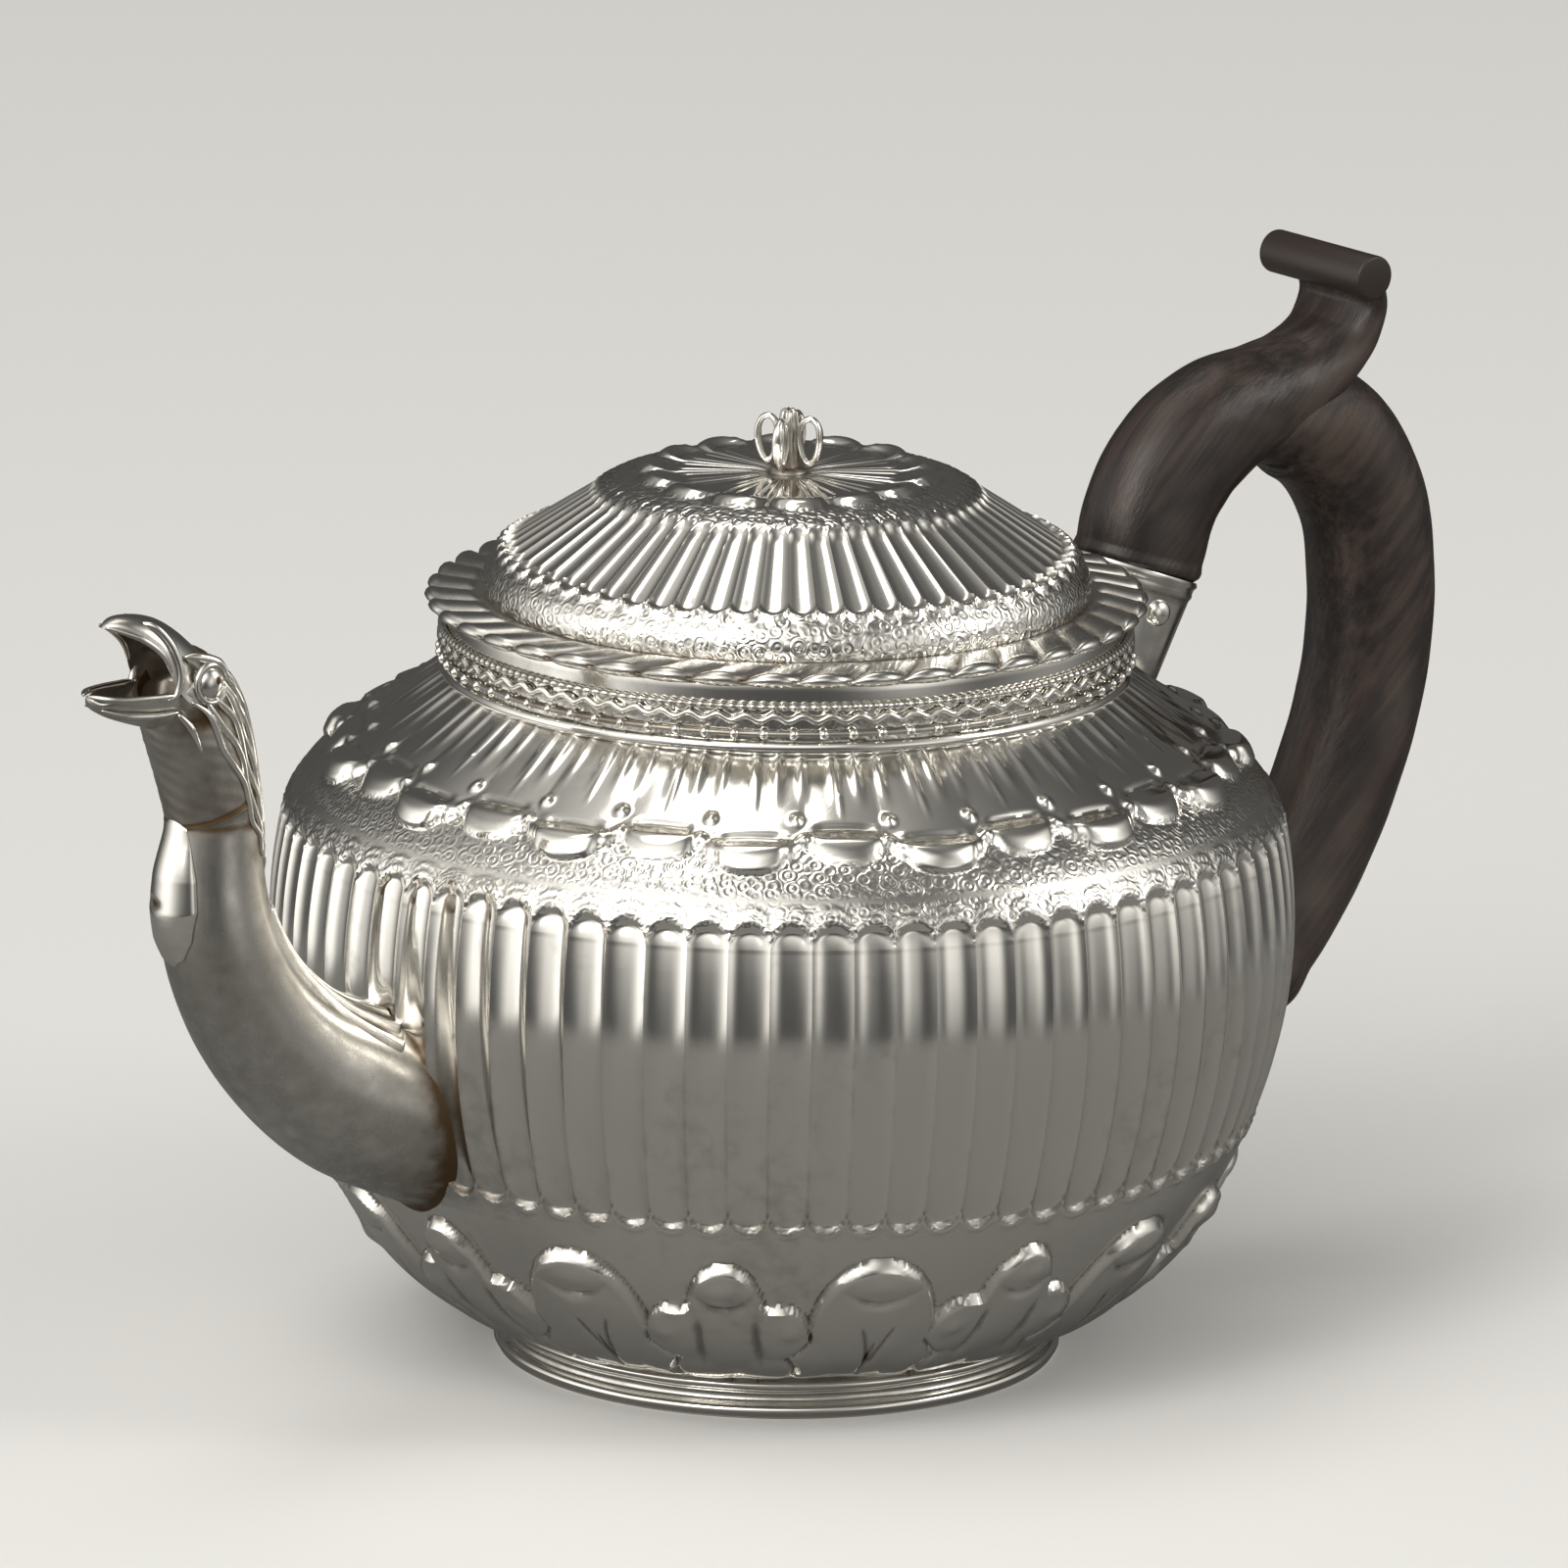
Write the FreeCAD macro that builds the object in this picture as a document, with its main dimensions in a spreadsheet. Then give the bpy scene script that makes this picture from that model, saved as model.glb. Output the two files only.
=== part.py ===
"""A silver teapot with a bird's-head spout, a lift-off lid and a carved wooden handle.

Millimetres. The origin is the middle of the foot's resting plane, +Z is up, the spout
points along -X and the handle along +X.
"""
import FreeCAD, Part
import math
import os
import re
import Sketcher

SIZES = {
    # Raised body: a bowl, a full side, a tight turn and a sloping shoulder, all tangent.
    "body_radius": 66.0,
    "body_wall": 1.0,
    "body_base_z": 6.0,
    "widest_z": 57.0,
    "side_round": 65.0,
    "side_low_angle": 34.7,
    "side_high_angle": 10.6,
    "base_radius": 36.5,
    "turn_round": 15.0,
    "turn_angle": 55.0,
    "neck_radius": 43.6,
    # Strainer: holes pierced through the body behind the spout.
    "strainer_hole": 2.4,
    "strainer_ring": 4.4,
    "strainer_wide_ring": 8.2,
    "strainer_rise": 1.0,
    # Foot ring soldered under the body.
    "foot_inset": 1.5,
    "foot_wall": 2.0,
    "foot_spread": 1.7,
    "foot_flange": 1.3,
    "foot_waist_z": 3.0,
    "foot_hollow_round": 2.2,
    "foot_bead_height": 2.2,
    "foot_bead_round": 1.2,
    # Collar strip round the mouth, with the four wires soldered round it.
    "collar_wall": 1.1,
    "collar_height": 9.0,
    "solder_gap": 0.05,
    "moulding_height": 1.7,
    "moulding_round": 0.9,
    "bead_wire": 1.5,
    "bead_wire_rise": 2.75,
    "wave_wire": 1.3,
    "wave_wire_rise": 4.7,
    "milled_wire": 1.0,
    "milled_wire_rise": 6.2,
    # Lift-off lid: flat gadrooned border, bezel inside the collar, fluted dome.
    "border_overhang": 2.3,
    "border_lap": 0.5,
    "border_height": 1.8,
    "bezel_clearance": 0.3,
    "bezel_wall": 0.9,
    "bezel_depth": 4.5,
    "dome_inset": 2.3,
    "dome_wall": 0.9,
    "dome_height": 15.3,
    "dome_band": 1.0,
    "dome_knee_round": 5.0,
    "dome_angle": 57.0,
    "dome_top_round": 12.0,
    # Finial: a seat disc and post held by a washer and a nut, with four scroll loops.
    "stem_radius": 0.9,
    "stem_height": 8.4,
    "stem_clearance": 0.05,
    "stem_end": 0.6,
    "seat_radius": 2.3,
    "seat_height": 0.8,
    "washer_radius": 3.2,
    "washer_height": 0.5,
    "nut_radius": 2.4,
    "nut_height": 1.6,
    "scroll_round": 1.7,
    "scroll_wire": 0.9,
    # Spout: round sections along a path that swings from the body up into the neck.
    "spout_wall": 0.9,
    "root_out": -11.0,
    "root_z": -17.0,
    "root_lean": 12.0,
    "root_radius": 12.6,
    "hip_out": 2.5,
    "hip_z": -12.8,
    "hip_lean": 26.0,
    "hip_radius": 11.0,
    "bend_out": 12.0,
    "bend_z": -6.8,
    "bend_lean": 42.0,
    "bend_radius": 9.2,
    "chest_out": 19.5,
    "chest_z": 2.0,
    "chest_lean": 60.0,
    "chest_radius": 8.0,
    "neck_low_out": 23.6,
    "neck_low_z": 12.0,
    "neck_low_lean": 79.0,
    "neck_low_radius": 7.2,
    "neck_mid_out": 24.3,
    "neck_mid_z": 20.0,
    "neck_mid_lean": 90.0,
    "neck_mid_radius": 6.4,
    "neck_top_z": 27.0,
    "neck_top_radius": 5.9,
    # Bird's head: a hollow casting on the end of the neck, with an open beak.
    "head_collar_radius": 6.5,
    "throat_out": 25.0,
    "throat_z": 33.5,
    "throat_lean": 84.0,
    "throat_radius": 6.6,
    "skull_out": 26.6,
    "skull_z": 40.0,
    "skull_lean": 72.0,
    "skull_radius": 6.9,
    "brow_out": 29.4,
    "brow_z": 44.0,
    "brow_lean": 38.0,
    "brow_radius": 6.0,
    "mouth_out": 32.8,
    "mouth_z": 45.7,
    "mouth_lean": 12.0,
    "mouth_radius": 4.9,
    "low_beak_root_out": 29.0,
    "low_beak_root_z": 42.2,
    "low_beak_root_breadth": 5.2,
    "low_beak_root_height": 4.2,
    "low_beak_mid_out": 38.0,
    "low_beak_mid_z": 42.6,
    "low_beak_mid_breadth": 4.0,
    "low_beak_mid_height": 2.6,
    "low_beak_tip_out": 44.2,
    "low_beak_tip_z": 44.2,
    "low_beak_tip_breadth": 1.4,
    "low_beak_tip_height": 0.9,
    "top_beak_root_out": 27.0,
    "top_beak_root_z": 45.4,
    "top_beak_root_breadth": 5.0,
    "top_beak_root_height": 3.8,
    "top_beak_mid_out": 34.5,
    "top_beak_mid_z": 50.4,
    "top_beak_mid_breadth": 4.0,
    "top_beak_mid_height": 2.6,
    "top_beak_tip_out": 41.6,
    "top_beak_tip_z": 53.0,
    "top_beak_tip_breadth": 1.3,
    "top_beak_tip_height": 0.9,
    "gape_root_out": 30.5,
    "gape_root_z": 45.6,
    "gape_root_breadth": 4.4,
    "gape_root_height": 3.6,
    "gape_mid_out": 38.0,
    "gape_mid_z": 46.4,
    "gape_mid_breadth": 6.0,
    "gape_mid_height": 5.0,
    "gape_tip_out": 47.0,
    "gape_tip_z": 48.7,
    "gape_tip_breadth": 6.0,
    "gape_tip_height": 3.9,
    # Drop applied to the breast and leaf applied along the back of the spout.
    "drop_top_radius": 2.2,
    "drop_top_sink": 1.6,
    "drop_waist_radius": 3.3,
    "drop_waist_sink": 2.2,
    "drop_full_radius": 4.3,
    "drop_full_sink": 2.8,
    "drop_end_radius": 2.0,
    "drop_end_sink": 1.4,
    "drop_end_fall": 3.5,
    "leaf_proud": 0.9,
    "leaf_clearance": 0.1,
    "leaf_root_radius": 6.4,
    "leaf_bend_radius": 4.4,
    "leaf_chest_radius": 3.2,
    "leaf_neck_radius": 2.4,
    "leaf_tip_radius": 1.9,
    # Wooden handle: oval sections along a C from socket to socket.
    "grip_breadth": 7.5,
    "grip_oval": 1.3,
    "arm_out": 2.6,
    "arm_z": 8.2,
    "arm_lean": 64.0,
    "arch_rise_out": 7.3,
    "arch_rise_z": 14.6,
    "arch_rise_lean": 43.0,
    "arch_front_out": 13.9,
    "arch_front_z": 18.4,
    "arch_front_lean": 18.0,
    "arch_top_out": 22.9,
    "arch_top_z": 19.1,
    "arch_top_lean": -10.0,
    "arch_back_out": 32.4,
    "arch_back_z": 14.4,
    "arch_back_lean": -47.0,
    "back_high_out": 30.0,
    "back_high_z": 43.5,
    "back_high_lean": -74.0,
    "back_mid_out": 31.9,
    "back_mid_z": 31.0,
    "back_mid_lean": -91.0,
    "back_low_out": 30.9,
    "back_low_z": 18.0,
    "back_low_lean": -100.0,
    "heel_high_out": 27.3,
    "heel_high_z": 6.5,
    "heel_high_lean": -113.0,
    "heel_out": 21.0,
    "heel_z": -5.6,
    "heel_lean": -123.0,
    "tail_out": 14.4,
    "tail_z": -14.2,
    "tail_lean": -134.0,
    # Thumb rest: a tongue that curls up from the arch and ends in a roll.
    "tongue_root_out": 17.4,
    "tongue_root_z": 19.4,
    "tongue_root_lean": 18.0,
    "tongue_root_depth": 6.0,
    "tongue_breadth": 7.6,
    "tongue_low_out": 26.7,
    "tongue_low_z": 22.6,
    "tongue_low_lean": 25.0,
    "tongue_low_depth": 5.0,
    "tongue_bend_out": 33.2,
    "tongue_bend_z": 27.2,
    "tongue_bend_lean": 50.0,
    "tongue_bend_depth": 3.3,
    "tongue_high_out": 34.9,
    "tongue_high_z": 32.2,
    "tongue_high_lean": 96.0,
    "tongue_high_depth": 2.5,
    "tongue_end_lean": 145.0,
    "tongue_end_depth": 2.2,
    "roll_out": 31.2,
    "roll_z": 36.4,
    "roll_radius": 2.9,
    "roll_length": 20.5,
    # Silver sockets that hold the ends of the handle, each with a pin across it.
    "socket_wall": 0.9,
    "socket_depth": 8.8,
    "socket_taper": 1.9,
    "tenon_clearance": 0.15,
    "handle_lid_gap": 2.9,
    "upper_rise": 15.9,
    "upper_lean": 70.0,
    "upper_reach": 18.0,
    "lower_rim_out": 8.6,
    "lower_rim_z": -19.2,
    "lower_lean": 32.0,
    "lower_reach": 20.0,
    "pin_radius": 0.8,
    "pin_clearance": 0.05,
    "pin_setback": 5.0,
    "pin_head_radius": 1.6,
    "pin_head_height": 0.9,
    "pin_head_gap": 0.25,
}

doc = FreeCAD.newDocument("teapot")
sheet = doc.addObject("Spreadsheet::Sheet", "sizes")
for row, (name, number) in enumerate(SIZES.items(), start=1):
    sheet.set("A%d" % row, name)
    sheet.set("B%d" % row, str(number))
    sheet.setAlias("B%d" % row, name)
doc.recompute()


def bound(text):
    """A formula in size names, with each name tied to its cell."""
    def cell(word):
        return "sizes." + word[0] if word[0] in SIZES else word[0]
    return re.sub(r"[a-z_]+", cell, text)


def size(text):
    """The number that a formula in size names comes to."""
    return float(sheet.evalExpression(bound(text)))


def origin_plane(body, role):
    return next(plane for plane in body.Origin.OriginFeatures if plane.Role == role)


def new_sketch(body, name, role):
    sketch = body.newObject("Sketcher::SketchObject", name)
    sketch.AttachmentSupport = [(origin_plane(body, role), "")]
    sketch.MapMode = "FlatFace"
    return sketch


def tie(sketch, kind, ends, formula):
    """A driving constraint of a sketch, tied to a formula in size names."""
    index = sketch.addConstraint(Sketcher.Constraint(kind, *ends, size(formula)))
    sketch.setExpression("Constraints[%d]" % index, bound(formula))


def arc_between(start, end, radius, turn):
    """The arc of a circle from start to end: turn 1 is anticlockwise, -1 clockwise."""
    chord = end - start
    rise = math.sqrt(max(radius ** 2 - chord.Length ** 2 / 4, 0.0))
    aside = FreeCAD.Vector(-chord.y, chord.x, 0).normalize() * (rise * turn)
    middle = (start + end) / 2 + aside
    first = math.atan2(start.y - middle.y, start.x - middle.x)
    last = math.atan2(end.y - middle.y, end.x - middle.x)
    circle = Part.Circle(middle, FreeCAD.Vector(0, 0, 1), radius)
    if turn > 0:
        return Part.ArcOfCircle(circle, first, last)
    return Part.ArcOfCircle(circle, last, first)


def outline(sketch, corners):
    """A closed outline. A corner is (across, up), or (across, up, radius, turn) where an
    arc leaves it for the next corner."""
    places = [FreeCAD.Vector(size(corner[0]), size(corner[1]), 0) for corner in corners]
    starts = []
    ends = []
    for index, corner in enumerate(corners):
        here = places[index]
        there = places[(index + 1) % len(places)]
        if len(corner) == 4:
            turn = corner[3]
            edge = sketch.addGeometry(arc_between(here, there, size(corner[2]), turn))
            tie(sketch, "Radius", (edge,), corner[2])
            starts.append((edge, 1 if turn > 0 else 2))
            ends.append((edge, 2 if turn > 0 else 1))
        else:
            edge = sketch.addGeometry(Part.LineSegment(here, there))
            starts.append((edge, 1))
            ends.append((edge, 2))
    for index, corner in enumerate(corners):
        sketch.addConstraint(Sketcher.Constraint("Coincident", *ends[index - 1], *starts[index]))
        tie(sketch, "DistanceX", (-1, 1) + starts[index], corner[0])
        tie(sketch, "DistanceY", (-1, 1) + starts[index], corner[1])


def turned_body(name, corners):
    """A solid of revolution about Z from an outline of radius and height."""
    body = doc.addObject("PartDesign::Body", name)
    sketch = new_sketch(body, name + "_outline", "XZ_Plane")
    outline(sketch, corners)
    turn = body.newObject("PartDesign::Revolution", name + "_turn")
    turn.Profile = sketch
    turn.ReferenceAxis = (sketch, ["V_Axis"])
    turn.Angle = 360.0
    body.Tip = turn
    doc.recompute()
    return body


def place(item, out, up, lean, side="0"):
    """Sets an item across a path at (out, up) that rises at lean degrees from +X."""
    item.Placement = FreeCAD.Placement(
        FreeCAD.Vector(0, 0, 0), FreeCAD.Rotation(FreeCAD.Vector(0, 1, 0), 90.0))
    item.setExpression("Placement.Base.x", bound(out))
    item.setExpression("Placement.Base.y", bound(side))
    item.setExpression("Placement.Base.z", bound(up))
    item.setExpression("Placement.Rotation.Angle", bound("90 - (%s)" % lean))


def ring(name, out, up, lean, radius):
    item = doc.addObject("Part::Circle", name)
    item.setExpression("Radius", bound(radius))
    place(item, out, up, lean)
    return item


def oval(name, out, up, lean, depth, breadth):
    """An oval across a path, deep in the handle's plane and narrower across it."""
    item = doc.addObject("Part::Ellipse", name)
    item.setExpression("MajorRadius", bound(depth))
    item.setExpression("MinorRadius", bound(breadth))
    place(item, out, up, lean)
    return item


def broad_oval(name, out, up, lean, breadth, depth):
    """An oval across a path that is broad along Y and thin in the handle's plane."""
    item = doc.addObject("Part::Ellipse", name)
    item.setExpression("MajorRadius", bound(breadth))
    item.setExpression("MinorRadius", bound(depth))
    spot = "create(<<vector>>; %s; 0; %s)" % (bound(out), bound(up))
    tilt = "create(<<rotation>>; create(<<vector>>; 0; 1; 0); 90 - (%s))" % bound(lean)
    quarter = "create(<<rotation>>; create(<<vector>>; 0; 0; 1); 90)"
    item.setExpression("Placement", "create(<<placement>>; %s; %s * %s)" % (spot, tilt, quarter))
    return item


def loft(name, sections, ruled=False):
    item = doc.addObject("Part::Loft", name)
    item.Sections = sections
    item.Solid = True
    item.Ruled = ruled
    return item


def cut(name, base, tool):
    item = doc.addObject("Part::Cut", name)
    item.Base = base
    item.Tool = tool
    return item


def fuse(name, shapes):
    item = doc.addObject("Part::MultiFuse", name)
    item.Shapes = shapes
    return item


def rod(name, out, up, radius, length):
    """A cylinder along Y, centred on the handle's plane."""
    item = doc.addObject("Part::Cylinder", name)
    item.setExpression("Radius", bound(radius))
    item.setExpression("Height", bound(length))
    item.Placement = FreeCAD.Placement(
        FreeCAD.Vector(0, 0, 0), FreeCAD.Rotation(FreeCAD.Vector(1, 0, 0), 90.0))
    item.setExpression("Placement.Base.x", bound(out))
    item.setExpression("Placement.Base.y", bound("(%s) / 2" % length))
    item.setExpression("Placement.Base.z", bound(up))
    return item


# Raised body. Each arc of the outline is given by its middle and its two joints.
SIDE_R = "(body_radius - side_round)"


def side_joint(angle, inset):
    """A point of the side arc at an angle above its middle, inset by a wall."""
    across = "(%s + (side_round - %s) * cos(%s))" % (SIDE_R, inset, angle)
    up = "(widest_z + (side_round - %s) * sin(%s))" % (inset, angle)
    return across, up


# The bowl's arc leaves the side's arc smoothly and ends at the base's edge.
LOW_ANGLE = "(0 - side_low_angle)"
LOW_R, LOW_Z = side_joint(LOW_ANGLE, "0")
BOWL_CHORD = "((base_radius - %s) ^ 2 + (body_base_z - %s) ^ 2)" % (LOW_R, LOW_Z)
BOWL_ACROSS = "(%s - base_radius) * cos(side_low_angle)" % LOW_R
BOWL_DOWN = "(%s - body_base_z) * sin(side_low_angle)" % LOW_Z
BOWL_DROP = "(%s - %s)" % (BOWL_ACROSS, BOWL_DOWN)
BOWL_ROUND = "(%s / (2 * %s))" % (BOWL_CHORD, BOWL_DROP)
BOWL_R = "(%s + (side_round - %s) * cos(side_low_angle))" % (SIDE_R, BOWL_ROUND)
BOWL_Z = "(widest_z - (side_round - %s) * sin(side_low_angle))" % BOWL_ROUND
TURN_R = "(%s + (side_round - turn_round) * cos(side_high_angle))" % SIDE_R
TURN_Z = "(widest_z + (side_round - turn_round) * sin(side_high_angle))"


def bowl_radius(height, inset):
    return "(%s + sqrt((%s - %s) ^ 2 - (%s - (%s)) ^ 2))" % (BOWL_R, BOWL_ROUND, inset, BOWL_Z, height)


def shoulder_joint(inset):
    across = "(%s + (turn_round - %s) * cos(turn_angle))" % (TURN_R, inset)
    up = "(%s + (turn_round - %s) * sin(turn_angle))" % (TURN_Z, inset)
    return across, up


def shoulder_height(radius, inset):
    """The height of the sloping shoulder at a radius."""
    across, up = shoulder_joint(inset)
    return "(%s + (%s - (%s)) / tan(turn_angle))" % (up, across, radius)


NECK_Z = shoulder_height("neck_radius", "0")
MOUTH_R = "(neck_radius - collar_wall)"
outside = [
    ("base_radius", "body_base_z", BOWL_ROUND, 1),
    side_joint(LOW_ANGLE, "0") + ("side_round", 1),
    side_joint("side_high_angle", "0") + ("turn_round", 1),
    shoulder_joint("0"),
    ("neck_radius", NECK_Z),
]
FLOOR_Z = "(body_base_z + body_wall)"
inside = [
    (MOUTH_R, NECK_Z),
    (MOUTH_R, shoulder_height(MOUTH_R, "body_wall")),
    shoulder_joint("body_wall") + ("turn_round - body_wall", -1),
    side_joint("side_high_angle", "body_wall") + ("side_round - body_wall", -1),
    side_joint(LOW_ANGLE, "body_wall") + ("%s - body_wall" % BOWL_ROUND, -1),
    (bowl_radius(FLOOR_Z, "body_wall"), FLOOR_Z),
    ("0", FLOOR_Z),
    ("0", "body_base_z"),
]
body_form = turned_body("body_form", outside + [("0", NECK_Z), ("0", "body_base_z")])
body_shell = turned_body("body_shell", outside + inside)

# The strainer is a middle hole with two rings of holes round it, cut towards the spout.
holes = new_sketch(body_shell, "strainer_holes", "YZ_Plane")
STRAINER_Z = "widest_z + root_z + strainer_rise"
spots = [("0", STRAINER_Z)]
for count, reach in ((6, "strainer_ring"), (10, "strainer_wide_ring")):
    for step in range(count):
        angle = 360.0 * step / count
        spots.append(("%s * cos(%.1f)" % (reach, angle), "%s + %s * sin(%.1f)" % (STRAINER_Z, reach, angle)))
for across, up in spots:
    centre = FreeCAD.Vector(size(across), size(up), 0)
    hole = holes.addGeometry(Part.Circle(centre, FreeCAD.Vector(0, 0, 1), size("strainer_hole / 2")))
    tie(holes, "Radius", (hole,), "strainer_hole / 2")
    tie(holes, "DistanceX", (-1, 1, hole, 3), across)
    tie(holes, "DistanceY", (-1, 1, hole, 3), up)
strainer = body_shell.newObject("PartDesign::Pocket", "strainer")
strainer.Profile = holes
strainer.setExpression("Length", bound("body_radius + body_wall"))
body_shell.Tip = strainer
doc.recompute()

# Foot ring: a flat flange, a hollow and a bead, soldered under the body's flat base.
WAIST_R = "(base_radius - foot_inset)"
FOOT_R = "(%s + foot_spread)" % WAIST_R
FOOT_INSIDE = "(%s - foot_wall)" % WAIST_R
foot_ring = turned_body("foot_ring", [
    (FOOT_INSIDE, "0"),
    (FOOT_R, "0"),
    (FOOT_R, "foot_flange", "foot_hollow_round", -1),
    (WAIST_R, "foot_waist_z", "foot_bead_round", 1),
    (WAIST_R, "foot_waist_z + foot_bead_height"),
    (WAIST_R, "body_base_z"),
    (FOOT_INSIDE, "body_base_z"),
])

# Collar strip standing on the neck, and the moulding and three wires round it.
SEAT_Z = "(%s + collar_height)" % NECK_Z
neck_collar = turned_body("neck_collar", [
    (MOUTH_R, NECK_Z),
    ("neck_radius", NECK_Z),
    ("neck_radius", SEAT_Z),
    (MOUTH_R, SEAT_Z),
])
WIRE_SEAT = "neck_radius + solder_gap"
neck_moulding = turned_body("neck_moulding", [
    (WIRE_SEAT, NECK_Z, "moulding_round", 1),
    (WIRE_SEAT, NECK_Z + " + moulding_height"),
])


def wire_ring(name, gauge, rise):
    item = doc.addObject("Part::Torus", name)
    item.setExpression("Radius1", bound("%s + %s / 2" % (WIRE_SEAT, gauge)))
    item.setExpression("Radius2", bound(gauge + " / 2"))
    item.setExpression("Placement.Base.z", bound("%s + %s" % (NECK_Z, rise)))
    return item


bead_wire = wire_ring("collar_bead_wire", "bead_wire", "bead_wire_rise")
wave_wire = wire_ring("collar_wave_wire", "wave_wire", "wave_wire_rise")
milled_wire = wire_ring("collar_milled_wire", "milled_wire", "milled_wire_rise")

# Lid border: a flat ring with a rounded edge that rests on the collar.
BEZEL_R = "(%s - bezel_clearance)" % MOUTH_R
DOME_R = "(%s - bezel_wall - dome_inset)" % BEZEL_R
BORDER_R = "(neck_radius + border_overhang)"
BORDER_INSIDE = "(%s - dome_wall - border_lap)" % DOME_R
BORDER_TOP = "(%s + border_height)" % SEAT_Z
lid_border = turned_body("lid_border", [
    (BORDER_INSIDE, SEAT_Z),
    (BORDER_R + " - border_height / 2", SEAT_Z, "border_height / 2", 1),
    (BORDER_R + " - border_height / 2", BORDER_TOP),
    (BORDER_INSIDE, BORDER_TOP),
])

# Lid bezel: the plain ring under the border that keeps the lid in the mouth.
lid_bezel = turned_body("lid_bezel", [
    (BEZEL_R + " - bezel_wall", SEAT_Z + " - bezel_depth"),
    (BEZEL_R, SEAT_Z + " - bezel_depth"),
    (BEZEL_R, SEAT_Z),
    (BEZEL_R + " - bezel_wall", SEAT_Z),
])

# Lid dome: an upright band, a knee, a straight slope and a flat top, pierced for the finial.
KNEE_R = "(%s - dome_knee_round)" % DOME_R
KNEE_Z = "(%s + dome_band)" % BORDER_TOP
DOME_TOP = "(%s + dome_height)" % BORDER_TOP
CROWN_Z = "(%s - dome_top_round)" % DOME_TOP


def knee_joint(inset):
    across = "(%s + (dome_knee_round - %s) * cos(dome_angle))" % (KNEE_R, inset)
    up = "(%s + (dome_knee_round - %s) * sin(dome_angle))" % (KNEE_Z, inset)
    return across, up


def slope_radius(height):
    across, up = knee_joint("0")
    return "(%s - (%s - %s) * tan(dome_angle))" % (across, height, up)


CROWN_JOINT_Z = "(%s + dome_top_round * sin(dome_angle))" % CROWN_Z
CROWN_R = "(%s - dome_top_round * cos(dome_angle))" % slope_radius(CROWN_JOINT_Z)


def crown_joint(inset):
    across = "(%s + (dome_top_round - %s) * cos(dome_angle))" % (CROWN_R, inset)
    up = "(%s + (dome_top_round - %s) * sin(dome_angle))" % (CROWN_Z, inset)
    return across, up


STEM_HOLE = "(stem_radius + stem_clearance)"
DOME_INSIDE = "(%s - dome_wall)" % DOME_TOP
lid_dome = turned_body("lid_dome", [
    (DOME_R, BORDER_TOP),
    (DOME_R, KNEE_Z, "dome_knee_round", 1),
    knee_joint("0"),
    crown_joint("0") + ("dome_top_round", 1),
    (CROWN_R, DOME_TOP),
    (STEM_HOLE, DOME_TOP),
    (STEM_HOLE, DOME_INSIDE),
    (CROWN_R, DOME_INSIDE, "dome_top_round - dome_wall", -1),
    crown_joint("dome_wall"),
    knee_joint("dome_wall") + ("dome_knee_round - dome_wall", -1),
    (DOME_R + " - dome_wall", KNEE_Z),
    (DOME_R + " - dome_wall", BORDER_TOP),
])

# Finial post with its seat disc, and the washer and nut that hold it inside the dome.
WASHER_Z = "(%s - washer_height)" % DOME_INSIDE
NUT_Z = "(%s - nut_height)" % WASHER_Z
finial_post = turned_body("finial_post", [
    ("0", NUT_Z + " - stem_end"),
    ("stem_radius", NUT_Z + " - stem_end"),
    ("stem_radius", DOME_TOP),
    ("seat_radius", DOME_TOP),
    ("seat_radius", DOME_TOP + " + seat_height"),
    ("stem_radius", DOME_TOP + " + seat_height"),
    ("stem_radius", DOME_TOP + " + stem_height"),
    ("0", DOME_TOP + " + stem_height"),
])
finial_washer = turned_body("finial_washer", [
    (STEM_HOLE, WASHER_Z),
    ("washer_radius", WASHER_Z),
    ("washer_radius", DOME_INSIDE),
    (STEM_HOLE, DOME_INSIDE),
])
nut_block = doc.addObject("Part::Prism", "nut_block")
nut_block.Polygon = 6
nut_block.setExpression("Circumradius", bound("nut_radius"))
nut_block.setExpression("Height", bound("nut_height"))
nut_block.setExpression("Placement.Base.z", bound(NUT_Z))
nut_bore = doc.addObject("Part::Cylinder", "nut_bore")
nut_bore.setExpression("Radius", bound(STEM_HOLE))
nut_bore.setExpression("Height", bound("nut_height"))
nut_bore.setExpression("Placement.Base.z", bound(NUT_Z))
finial_nut = cut("finial_nut", nut_block, nut_bore)

# Four scroll loops of wire stand round the post, on the seat disc.
SCROLL_OUT = "(stem_radius + solder_gap + scroll_round + scroll_wire / 2)"
SCROLL_Z = "(%s + seat_height + solder_gap + scroll_round + scroll_wire / 2)" % DOME_TOP
loops = []
for number in range(4):
    turn = 90.0 * number
    hoop = doc.addObject("Part::Torus", "scroll_%d" % (number + 1))
    hoop.setExpression("Radius1", bound("scroll_round"))
    hoop.setExpression("Radius2", bound("scroll_wire / 2"))
    upright = FreeCAD.Rotation(FreeCAD.Vector(1, 0, 0), 90.0)
    around = FreeCAD.Rotation(FreeCAD.Vector(0, 0, 1), turn)
    hoop.Placement = FreeCAD.Placement(FreeCAD.Vector(0, 0, 0), around * upright)
    hoop.setExpression("Placement.Base.x", bound("%s * cos(%.1f)" % (SCROLL_OUT, turn)))
    hoop.setExpression("Placement.Base.y", bound("%s * sin(%.1f)" % (SCROLL_OUT, turn)))
    hoop.setExpression("Placement.Base.z", bound(SCROLL_Z))
    loops.append(hoop)
finial_scrolls = doc.addObject("Part::Compound", "finial_scrolls")
finial_scrolls.Links = loops

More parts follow.
